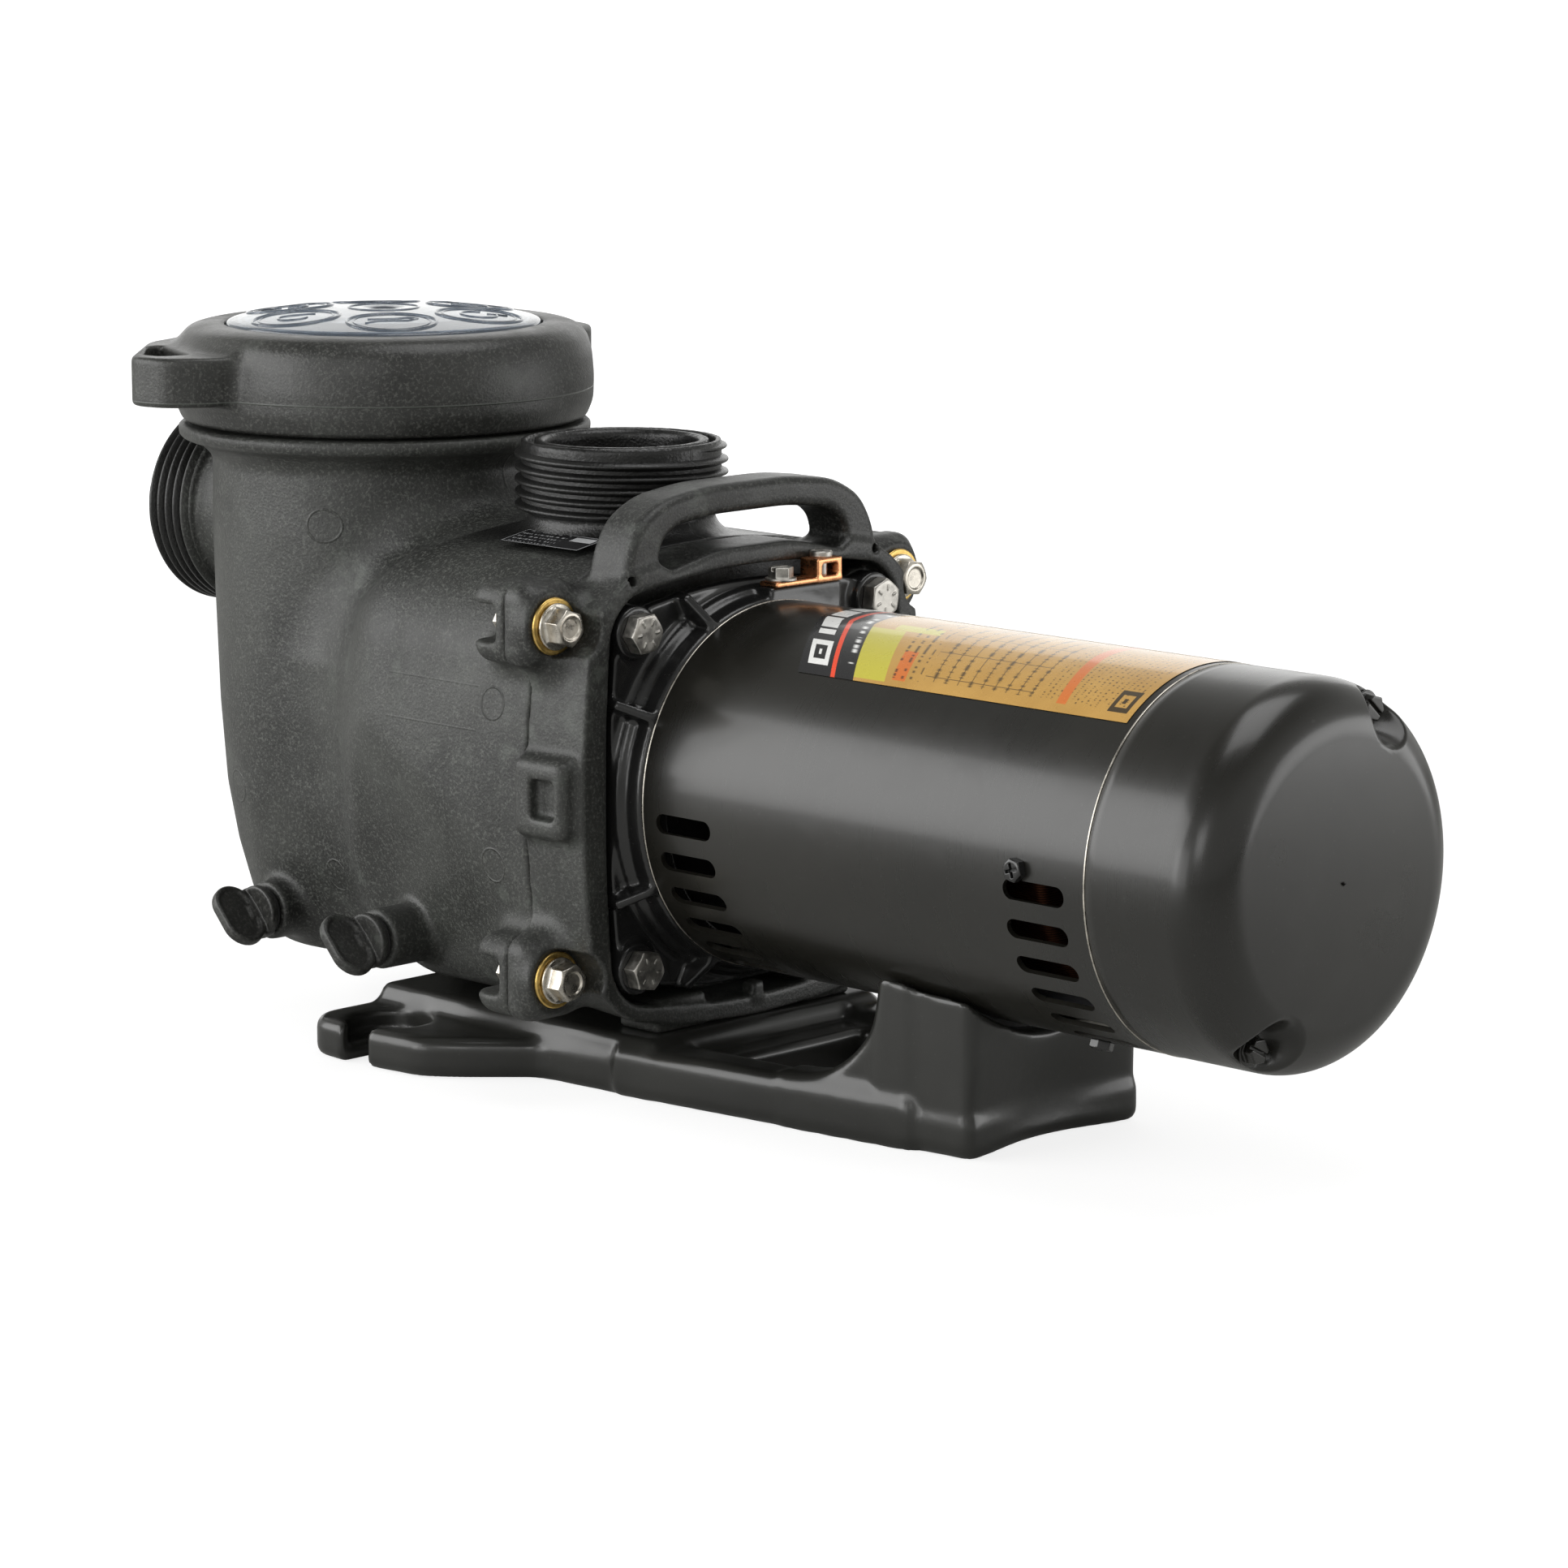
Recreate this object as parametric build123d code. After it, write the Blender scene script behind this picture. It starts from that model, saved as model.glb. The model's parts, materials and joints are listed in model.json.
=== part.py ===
from build123d import *
import math
import os

# Self-priming pool pump: strainer pot, volute, seal plate with a carrying handle, 56-frame motor and base.
# Millimetres.  Origin: floor, mid-plane, on the line through the two mounting slots.
# +X runs towards the motor, +Y to the far side, +Z up.

# ---- overall stations -------------------------------------------------------
shaft_height = 116.6
shell_front_x = 130.6
shell_length = 222.4
canopy_length = 57.6
strainer_x = -95.7
discharge_x = 45.1
suction_rim_x = -203.2
suction_height = 197.9
discharge_rim_z = 244.2
parting_x = shell_front_x - 38.0
bracket_rim_x = shell_front_x - 9.0

# ---- ports ------------------------------------------------------------------
socket_radius = 30.2
socket_depth = 38.0
port_bore_radius = 26.0
port_rim_radius = 39.8
port_thread_radius = 42.3
port_neck_radius = 36.5
thread_pitch = 5.0
thread_turns = 5
rim_groove_inner = 34.4
rim_groove_outer = 37.2
rim_groove_depth = 4.0

# ---- strainer pot and lid -----------------------------------------------------
pot_inner_radius = 65.5
pot_ledge_z = 165.0
pot_floor_z = 29.0
pot_neck_radius = 75.0
pot_neck_top_z = 264.0
pot_rim_z = 240.5
ramp_radius = 78.4
ramp_z = 249.0
ramp_thickness = 5.0
ramp_arc = 56.0
ring_outer_radius = 86.0
ring_lip_radius = 65.3
ring_top_z = 280.8
ring_bottom_z = 241.5
lid_clearance = 0.4
lid_wing_low_z = 252.6
lid_wing_top_z = 272.6
lid_wing_mirror = -4.0

# ---- motor --------------------------------------------------------------------
shell_radius = 71.6
shell_wall = 2.0
bolt_square = 130.2
mount_face_x = shell_front_x - 18.0
flange_thickness = 9.0
shaft_radius = 7.94
journal_radius = 8.5
bearing_radius = 20.0
bearing_width = 12.0
running_gap = 0.03
air_gap = 0.5
fit_gap = 0.02
through_bolt_circle = 65.2
through_bolt_angle = 62.0
stator_front_x = shell_front_x + 55.0
stator_length = 110.0

# ---- housing joint --------------------------------------------------------------
housing_bolt_y = 94.3
housing_bolt_z = (185.7, 49.6)
housing_bolt_radius = 4.0
bolt_clearance = 0.3
boss_face_x = shell_front_x - 25.0

# ---- base -------------------------------------------------------------------------
slot_inner_y = 88.0
slot_recess_y = 84.0
slot_recess_radius = 17.0
slot_width = 14.4
platform_height = 23.6
ear_height = 16.0
arm_height = 20.0
saddle_height = 46.0
base_bolt_y = 40.0
base_bolt_x = shell_front_x - 22.0

# ---- drain plugs -------------------------------------------------------------------
drain_pot_place = (-95.7, -68.0, 43.5)
drain_volute_place = (3.2, -95.0, 50.2)
drain_boss_radius = 12.0
drain_shank_radius = 6.8
drain_shank_length = 11.0
drain_cap_radius = 11.0
drain_cap_thickness = 3.0
drain_wing_width = 27.0
drain_wing_reach = 19.0
drain_wing_thickness = 4.2
drain_wing_tilt = 47.0

# ---- wet end sizes ----
housing_corners = dict(corner_y=86.0, corner_z=80.0, corner_radius=26.0)
cavity_radius = 80.0
cavity_depth = 98.0
drum_depth = 124.0
drum_back_radius = 36.0
drain_hole_depth = 56.0
inlet_radius = 24.0
inlet_socket_radius = 33.0
web_wet_x = parting_x - 8.0
web_dry_x = parting_x + 4.0
recess_corners = dict(corner_y=77.0, corner_z=77.0, corner_radius=14.0)
washer_thickness = 1.6

# ---- basket and window ----
basket_top_z = pot_ledge_z + 3.0
basket_floor_z = 44.0
basket_wall = 2.2
bail_top_z = 184.0
bail_thickness = 3.5
window_flange_radius = 73.0
window_underside_z = pot_neck_top_z + 2.5
window_flange_top_z = 272.6
o_ring_section = 2.6
o_ring_radius = 70.2

# ---- impeller, diffuser and seal ----
impeller_radius = 57.0
impeller_back_x = web_wet_x - 12.0
impeller_front_x = impeller_back_x - 14.0
hub_radius = 12.0
eye_radius = 22.0
diffuser_radius = 72.0
diffuser_front_x = impeller_front_x - 6.0
seat_bore_radius = 17.0
seat_radius = 14.0
seat_hole_radius = 9.5

# ---- motor details ----
bell_ring_radius = 79.0
vent_length = 29.0
vent_height = 7.6
vent_step = 12.0
vent_count = 6
stator_bore = 38.0
front_bearing_x = shell_front_x - 9.0
rear_bearing_x = shell_front_x + 204.0
canopy_wall = 1.2
canopy_shoulder = 20.0
lug_seat_z = shaft_height + 76.3
lug_x = shell_front_x - 4.0
lug_fixing_y = 7.0
lug_clamp_y = 29.2
label_front_x = shell_front_x + 46.0
label_rear_x = shell_front_x + 219.0
canopy_dimple_depth = 15.5
vent_first_angle = 184.0
vent_stations = (21.7, 198.5)
shell_screw_angles = (178.0, 250.0)
shell_screw_x = shell_front_x + 191.0


def frame_at(x):
    """Plane square to the shaft at station x: local x is Y, local y is Z, centred on the shaft."""
    return Plane(origin=(x, 0, shaft_height), x_dir=(0, 1, 0), z_dir=(1, 0, 0))


def turned_on_shaft(points):
    """Solid of revolution about the shaft from (x, radius) corners."""
    side = Plane(origin=(0, 0, shaft_height), x_dir=(1, 0, 0), z_dir=(0, -1, 0))
    face = side * make_face(Polyline(*points, close=True))
    return revolve(face, Axis((0, 0, shaft_height), (1, 0, 0)), 360)


def turned_upright(x, points):
    """Solid of revolution about the upright line at x from (radius, z) corners."""
    side = Plane(origin=(x, 0, 0), x_dir=(1, 0, 0), z_dir=(0, -1, 0))
    face = side * make_face(Polyline(*points, close=True))
    return revolve(face, Axis((x, 0, 0), (0, 0, 1)), 360)


def along_x(x0, x1, radius, y=0.0, z=shaft_height):
    """Round bar along X."""
    place = Plane(origin=(x0, y, z), x_dir=(0, 1, 0), z_dir=(1, 0, 0))
    return extrude(place * Circle(radius), x1 - x0)


def upright(x, y, z0, z1, radius):
    """Round bar along Z."""
    return extrude(Plane(origin=(x, y, z0)) * Circle(radius), z1 - z0)


def box(x0, x1, y0, y1, z0, z1):
    middle = ((x0 + x1) / 2, (y0 + y1) / 2, (z0 + z1) / 2)
    return Pos(*middle) * Box(x1 - x0, y1 - y0, z1 - z0)


def hex_bar(x0, x1, across_flats, y, z, turn=0.0):
    place = Plane(origin=(x0, y, z), x_dir=(0, 1, 0), z_dir=(1, 0, 0))
    outline = RegularPolygon(across_flats / 2, 6, major_radius=False, rotation=turn)
    return extrude(place * outline, x1 - x0)


def on_circle(radius, degrees):
    """(y, z) of a point on a circle about the shaft."""
    a = math.radians(degrees)
    return radius * math.cos(a), shaft_height + radius * math.sin(a)


def bulged_square(x, side_y, side_z, corner_y, corner_z, corner_radius):
    """Rounded square section whose sides bow outwards."""
    arcs = [
        ThreePointArc((-corner_y, corner_z), (0, side_z), (corner_y, corner_z)),
        ThreePointArc((corner_y, corner_z), (side_y, 0), (corner_y, -corner_z)),
        ThreePointArc((corner_y, -corner_z), (0, -side_z), (-corner_y, -corner_z)),
        ThreePointArc((-corner_y, -corner_z), (-side_y, 0), (-corner_y, corner_z)),
    ]
    section = make_face(arcs)
    return frame_at(x) * fillet(section.vertices(), corner_radius)


def save(node, shape):
    solids = shape.solids()
    whole = solids[0] if len(solids) == 1 else Compound(children=list(solids))
    export_step(whole, f"parts/{node}.step")
    print(node, len(solids), round(sum(s.volume for s in solids), 1))


# ---- wet end ------------------------------------------------------------------------
def under_cut(y_sign):
    """Half-space that trims the drum's lower back side along a slanting crease."""
    lean = math.radians(20.0)
    run_x, run_z = 0.852, -0.524
    normal = (run_z * math.sin(lean), y_sign * math.cos(lean), -run_x * math.sin(lean))
    crease = Plane(origin=(48.6, y_sign * 97.0, 104.6), x_dir=(run_x, 0, run_z), z_dir=normal)
    return crease * (Pos(0, 0, 100.0) * Box(500.0, 500.0, 200.0))


def port_blank(length):
    """Union-thread spout, rim upwards at z = 0, with ring-cut thread crests."""
    spout = extrude(Circle(port_neck_radius), -length)
    spout += extrude(Circle(port_rim_radius), -(thread_turns * thread_pitch + 3.0))
    for turn in range(thread_turns):
        z = -4.0 - turn * thread_pitch
        outline = [
            (port_rim_radius - 1.0, z + 1.9),
            (port_thread_radius, z + 0.5),
            (port_thread_radius, z - 0.5),
            (port_rim_radius - 1.0, z - 1.9),
        ]
        spout += turned_upright(0, outline)
    spout -= extrude(Circle(rim_groove_outer) - Circle(rim_groove_inner), -rim_groove_depth)
    return spout


def housing_lobe(y_sign, z):
    """Corner lobe that carries a captive nut."""
    y0, y1 = sorted((y_sign * 74.0, y_sign * 108.0))
    lobe = box(parting_x - 16.0, parting_x, y0, y1, z - 16.0, z + 16.0)
    lobe = fillet(lobe.edges().filter_by(Axis.X), 6.0)
    return lobe


def nut_pocket(y_sign, z):
    y0, y1 = sorted((y_sign * (housing_bolt_y - 8.0), y_sign * 110.0))
    return box(parting_x - 13.0, parting_x - 5.0, y0, y1, z - 7.5, z + 7.5)


def drain_boss(place, length):
    x, y, z = place
    spot = Plane(origin=(x, y, z), x_dir=(1, 0, 0), z_dir=(0, -1, 0))
    return extrude(spot * Circle(drain_boss_radius), -length)


def pump_body():
    full = bulged_square(parting_x, 97.0, 92.0, **housing_corners)
    drum = extrude(full, -drum_depth)
    back = drum.edges().group_by(Axis.X)[0]
    drum = fillet(back, drum_back_radius)
    for y_sign in (-1, 1):
        drum -= under_cut(y_sign)
    pot_wall = [
        (0, 22.0), (34.0, 22.0), (47.0, 26.0), (54.0, 35.0), (57.8, 47.5), (62.9, 66.6), (67.1, 91.0),
        (69.5, 125.3), (70.7, 166.1), (71.4, 199.9), (70.9, 226.8), (76.0, 232.0), (84.6, 235.0),
        (84.8, pot_rim_z), (pot_neck_radius, pot_rim_z), (pot_neck_radius, pot_neck_top_z), (0, pot_neck_top_z),
    ]
    body = drum + turned_upright(strainer_x, pot_wall)
    for side in (0.0, 120.0, 240.0):
        body += lock_ramp(side)
    for y_sign in (-1, 1):
        for z in housing_bolt_z:
            body += housing_lobe(y_sign, z)
    spout_length = discharge_rim_z - shaft_height - 60.0
    body += Pos(discharge_x, 0, discharge_rim_z) * port_blank(spout_length)
    lying = Plane(origin=(suction_rim_x, 0, suction_height), x_dir=(0, 1, 0), z_dir=(-1, 0, 0))
    body += lying * port_blank(60.0)
    body += drain_boss(drain_pot_place, 42.0)
    body += drain_boss(drain_volute_place, 40.0)

    pot_hollow = [
        (0, pot_floor_z), (30.0, pot_floor_z), (44.0, 34.0), (52.5, 50.0), (58.0, 72.0), (61.5, 125.0),
        (61.5, pot_ledge_z), (pot_inner_radius, pot_ledge_z), (pot_inner_radius, pot_neck_top_z + 1),
        (0, pot_neck_top_z + 1),
    ]
    body -= turned_upright(strainer_x, pot_hollow)
    snout_end = web_wet_x - 38.0
    chamber = [
        (parting_x + 1, 0), (parting_x + 1, cavity_radius), (parting_x - cavity_depth, cavity_radius),
        (parting_x - cavity_depth, inlet_socket_radius + 5.0), (snout_end, inlet_socket_radius + 5.0),
        (snout_end, inlet_socket_radius), (snout_end - 14.0, inlet_socket_radius),
        (snout_end - 14.0, inlet_radius), (strainer_x + 40.0, inlet_radius), (strainer_x + 40.0, 0),
    ]
    body -= turned_on_shaft(chamber)
    body -= upright(discharge_x, 0, shaft_height + 40.0, discharge_rim_z + 1, port_bore_radius)
    body -= upright(discharge_x, 0, discharge_rim_z - socket_depth, discharge_rim_z + 1, socket_radius)
    body -= along_x(suction_rim_x - 1, strainer_x, port_bore_radius, z=suction_height)
    body -= along_x(suction_rim_x - 1, suction_rim_x + socket_depth, socket_radius, z=suction_height)
    for y_sign in (-1, 1):
        for z in housing_bolt_z:
            body -= along_x(parting_x - 40.0, parting_x + 1, housing_bolt_radius + bolt_clearance,
                            y_sign * housing_bolt_y, z)
            body -= nut_pocket(y_sign, z)
    for place in (drain_pot_place, drain_volute_place):
        x, y, z = place
        spot = Plane(origin=(x, y, z), x_dir=(1, 0, 0), z_dir=(0, -1, 0))
        body -= extrude(spot * Circle(drain_shank_radius + 0.35), -drain_hole_depth)
    return body


def lock_ramp(side):
    """One bayonet ramp on the pot neck, centred on the given side."""
    band = upright(strainer_x, 0, ramp_z, ramp_z + ramp_thickness, ramp_radius)
    band -= upright(strainer_x, 0, ramp_z - 1, ramp_z + ramp_thickness + 1, pot_neck_radius - 1.0)
    return band & sector(side, ramp_arc)


def sector(side, arc):
    """Tall wedge about the pot axis, used to keep one stretch of a ring."""
    reach = 140.0
    corners = [(0, 0)]
    for step in range(5):
        a = math.radians(side - arc / 2 + arc * step / 4)
        corners.append((reach * math.cos(a), reach * math.sin(a)))
    wedge = extrude(make_face(Polyline(*corners, close=True)), 400.0)
    return Pos(strainer_x, 0, 0) * wedge


def strainer_basket():
    outer = [(0, basket_floor_z), (44.0, basket_floor_z), (57.5, pot_ledge_z + 0.3), (64.8, pot_ledge_z + 0.3),
             (64.8, basket_top_z), (0, basket_top_z)]
    inner = [(0, basket_floor_z + basket_wall), (44.0 - basket_wall, basket_floor_z + basket_wall),
             (57.5 - basket_wall, basket_top_z + 1), (0, basket_top_z + 1)]
    basket = turned_upright(strainer_x, outer) - turned_upright(strainer_x, inner)
    slots = 20
    for row_z in (62.0, 90.0, 118.0, 146.0):
        for k in range(slots):
            spoke = box(0, 80.0, -3.6, 3.6, row_z - 10.0, row_z + 10.0)
            basket -= Pos(strainer_x, 0, 0) * (Rot(0, 0, 360.0 * k / slots) * spoke)
    for k in range(8):
        hole = box(12.0, 36.0, -2.5, 2.5, basket_floor_z - 1, basket_floor_z + basket_wall + 1)
        basket -= Pos(strainer_x, 0, 0) * (Rot(0, 0, 45.0 * k) * hole)
    return basket


def basket_handle():
    """Bail across the basket's mouth, its two feet standing on the rim."""
    half_width, half_span, leg = 4.0, 60.5, 4.5
    x0, x1 = strainer_x - half_width, strainer_x + half_width
    bail = box(x0, x1, -half_span, half_span, basket_top_z, bail_top_z)
    under = box(x0 - 1, x1 + 1, -half_span + leg, half_span - leg, basket_top_z - 1, bail_top_z - bail_thickness)
    return bail - under


def lid_window():
    """Clear cover: flange under the lock ring, then a raised shallow dome with a centre dimple."""
    edge_z = 281.9
    crown = [(0, window_underside_z), (window_flange_radius, window_underside_z),
             (window_flange_radius, window_flange_top_z), (ring_lip_radius - lid_clearance, window_flange_top_z),
             (ring_lip_radius - lid_clearance, edge_z), (48.0, 284.4), (26.0, 286.0), (9.0, 286.6), (5.0, 285.4),
             (0, 285.0)]
    hollow = [(0, window_underside_z - 1), (59.0, window_underside_z - 1), (59.0, 276.0), (44.0, 279.2),
              (24.0, 281.0), (0, 281.3)]
    window = turned_upright(strainer_x, crown) - turned_upright(strainer_x, hollow)
    groove = [(o_ring_radius - 2.8, window_underside_z - 1), (o_ring_radius + 2.8 - 0.2, window_underside_z - 1),
              (o_ring_radius + 2.6, pot_neck_top_z + 2 * o_ring_section + 0.05),
              (o_ring_radius - 2.8, pot_neck_top_z + 2 * o_ring_section + 0.05)]
    return window - turned_upright(strainer_x, groove)


def lid_o_ring():
    torus = Torus(o_ring_radius, o_ring_section - 0.02)
    return Pos(strainer_x, 0, pot_neck_top_z + o_ring_section) * torus


def lid_wing(mirrored):
    """Fin-shaped grip on the lock ring: a steep front face, a long back slope and a finger pocket."""
    outline = [(70.0, -84.0), (85.0, -84.5), (111.0, -93.5), (116.5, -102.0), (97.0, -134.0), (88.0, -150.0),
               (80.0, -161.0), (68.0, -125.0)]
    pocket = [(93.0, -99.0), (105.0, -99.5), (107.0, -105.0), (98.0, -120.0), (92.0, -122.0)]
    grip = extrude(polar_face(outline, lid_wing_low_z, mirrored), lid_wing_top_z - lid_wing_low_z)
    grip = fillet(grip.edges().group_by(Axis.Z)[-1], 2.0)
    return grip - extrude(polar_face(pocket, lid_wing_low_z + 7.0, mirrored), 30.0)


def polar_face(corners, z, mirrored):
    """Face at height z from (radius, degrees) corners about the pot axis."""
    points = []
    for radius, degrees in corners:
        turned = 2 * lid_wing_mirror - degrees if mirrored else degrees
        a = math.radians(turned)
        points.append((strainer_x + radius * math.cos(a), radius * math.sin(a)))
    return Plane(origin=(0, 0, z)) * make_face(Polyline(*points, close=True))


def lid_lock_ring():
    outer = [(72.0, ring_bottom_z), (82.8, ring_bottom_z), (85.9, 249.0), (86.2, 259.0), (85.4, 269.0),
             (83.6, 275.5), (80.0, 279.4), (74.0, 281.0), (ring_lip_radius, ring_top_z), (ring_lip_radius, 276.0),
             (72.0, 276.0)]
    ring = turned_upright(strainer_x, outer)
    for mirrored in (False, True):
        ring += lid_wing(mirrored)
    hollow = [(0, ring_bottom_z - 1), (ramp_radius + lid_clearance, ring_bottom_z - 1),
              (ramp_radius + lid_clearance, window_flange_top_z + lid_clearance),
              (ring_lip_radius, window_flange_top_z + lid_clearance), (ring_lip_radius, 290.0), (0, 290.0)]
    ring -= turned_upright(strainer_x, hollow)
    tab = upright(strainer_x, 0, ring_bottom_z, ramp_z - lid_clearance, ramp_radius + 1.0)
    tab -= upright(strainer_x, 0, ring_bottom_z - 1, ramp_z + 1, pot_neck_radius + lid_clearance)
    for side in (60.0, 180.0, 300.0):
        ring += tab & sector(side, ramp_arc - 6.0)
    return ring


def impeller():
    back = along_x(impeller_back_x - 3.0, impeller_back_x, impeller_radius)
    front = along_x(impeller_front_x, impeller_front_x + 2.0, impeller_radius)
    front += along_x(impeller_front_x - 12.0, impeller_front_x + 1.0, eye_radius + 2.5)
    front -= along_x(impeller_front_x - 13.0, impeller_front_x + 3.0, eye_radius)
    hub = along_x(impeller_front_x - 2.0, impeller_back_x, hub_radius)
    wheel = back + front + hub
    for k in range(6):
        wheel += frame_at(impeller_front_x + 1.0) * (Rot(0, 0, 60.0 * k) * vane())
    wheel -= along_x(impeller_front_x + 6.0, impeller_back_x + 1.0, shaft_radius + fit_gap)
    wheel -= along_x(impeller_front_x - 3.0, impeller_front_x + 7.0, 4.0 + fit_gap)
    return wheel


def vane():
    """Backward-curved blade from the hub to the rim."""
    line = ThreePointArc((19.0, 0), (34.0, 22.0), (30.0, 47.0))
    blade = offset(line, 1.2, side=Side.BOTH)
    return extrude(make_face(blade), 11.0)


def impeller_screw():
    head = along_x(impeller_front_x - 7.0, impeller_front_x - 2.0 - fit_gap, 7.0)
    head -= box(impeller_front_x - 8.0, impeller_front_x - 5.0, -8.0, 8.0, shaft_height - 1, shaft_height + 1)
    return head + along_x(impeller_front_x - 3.0, impeller_front_x + 20.0, 4.0)


def diffuser():
    """Bowl over the impeller, fixed to the seal plate, with a nose in the housing's inlet."""
    wall = 3.0
    nose_x = diffuser_front_x - 16.0
    bowl = turned_on_shaft([
        (web_wet_x - fit_gap, diffuser_radius), (web_wet_x - fit_gap, diffuser_radius - wall),
        (diffuser_front_x + wall, diffuser_radius - wall), (diffuser_front_x + wall, 27.0), (nose_x, 27.0),
        (nose_x, 30.0), (diffuser_front_x, 30.0), (diffuser_front_x, diffuser_radius),
    ])
    for k in range(8):
        gap = box(diffuser_front_x + 7.0, web_wet_x - 5.0, -9.0, 9.0, 60.0, 80.0)
        bowl -= Pos(0, 0, shaft_height) * (Rot(45.0 * k, 0, 0) * gap)
    return bowl


def diffuser_o_ring():
    x = diffuser_front_x - 9.0
    groove_radius = (inlet_socket_radius + 30.0) / 2
    ring = Torus(groove_radius, (inlet_socket_radius - 30.0) / 2 - fit_gap)
    return frame_at(x) * ring


def wear_ring():
    x0 = diffuser_front_x - 14.0
    liner = along_x(x0, x0 + 12.0, 27.0 - fit_gap)
    return liner - along_x(x0 - 1, x0 + 13.0, eye_radius + 2.5 + 0.3)


# ---- seal --------------------------------------------------------------------------------
def seal_seat():
    seat = along_x(web_wet_x, web_wet_x + 8.0, seat_radius)
    return seat - along_x(web_wet_x - 1, web_wet_x + 9.0, seat_hole_radius)


def seal_seat_cup():
    """Rubber cup that grips the seat in the seal plate's bore."""
    cup = along_x(web_wet_x + 1.0, web_wet_x + 10.0, seat_bore_radius - fit_gap)
    cup -= along_x(web_wet_x, web_wet_x + 8.0 + fit_gap, seat_radius + fit_gap)
    return cup - along_x(web_wet_x, web_wet_x + 11.0, seat_hole_radius)


def seal_head():
    """Rotating carbon ring in its holder."""
    face = along_x(web_wet_x - 4.0, web_wet_x - 0.05, 13.0)
    return face - along_x(web_wet_x - 5.0, web_wet_x + 1.0, shaft_radius + fit_gap)


def seal_spring():
    """Coil between the rotating ring and the impeller's back."""
    wire = 0.8
    length = web_wet_x - 4.0 - impeller_back_x - 2 * wire - 2 * fit_gap
    coil = Helix(pitch=length / 3, height=length, radius=10.4)
    start = coil @ 0
    section = Plane(origin=start, z_dir=coil % 0) * Circle(wire)
    place = Plane(origin=(impeller_back_x + wire + fit_gap, 0, shaft_height), x_dir=(0, 1, 0), z_dir=(1, 0, 0))
    return place * sweep(section, path=coil, is_frenet=True)


def housing_o_ring():
    ring = Torus(cavity_radius - 2.0, 2.0 - fit_gap)
    return frame_at(parting_x - 3.0) * ring


# ---- seal plate and motor bracket -----------------------------------------------------------
def bracket_lobe(y_sign, z):
    y0, y1 = sorted((y_sign * 78.0, y_sign * 108.0))
    lobe = box(parting_x, boss_face_x, y0, y1, z - 17.0, z + 17.0)
    return fillet(lobe.edges().filter_by(Axis.X), 7.0)


def carrying_handle():
    """Arched grip over the top of the bracket with a finger slot."""
    outline = [(-70.0, 84.0), (-66.0, 96.0), (-59.0, 107.0), (-46.0, 114.0), (-22.0, 117.0), (22.0, 117.0),
               (46.0, 114.0), (59.0, 107.0), (66.0, 96.0), (70.0, 84.0)]
    slot = [(-52.0, 90.0), (-49.0, 97.0), (-41.0, 103.0), (-20.0, 105.5), (20.0, 105.5), (41.0, 103.0),
            (49.0, 97.0), (52.0, 90.0), (47.0, 86.0), (20.0, 93.0), (-20.0, 93.0), (-47.0, 86.0)]
    place = frame_at(bracket_rim_x - 24.0)
    arch = extrude(place * make_face(Polyline(*outline, close=True)), 22.0)
    arch = fillet(arch.edges().group_by(Axis.X)[-1], 3.0)
    return arch - extrude(frame_at(bracket_rim_x - 40.0) * make_face(Polyline(*slot, close=True)), 60.0)


def side_lug(y_sign):
    """Flat lug on the flank with a recessed pocket."""
    y0, y1 = sorted((y_sign * 80.0, y_sign * 102.5))
    lug = box(parting_x, bracket_rim_x - 3.0, y0, y1, shaft_height - 12.0, shaft_height + 19.0)
    lug = fillet(lug.edges().filter_by(Axis.X), 5.0)
    y2, y3 = sorted((y_sign * 98.0, y_sign * 104.0))
    pocket = box(parting_x + 8.0, bracket_rim_x - 6.0, y2, y3, shaft_height - 2.0, shaft_height + 10.0)
    return lug - pocket


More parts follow.
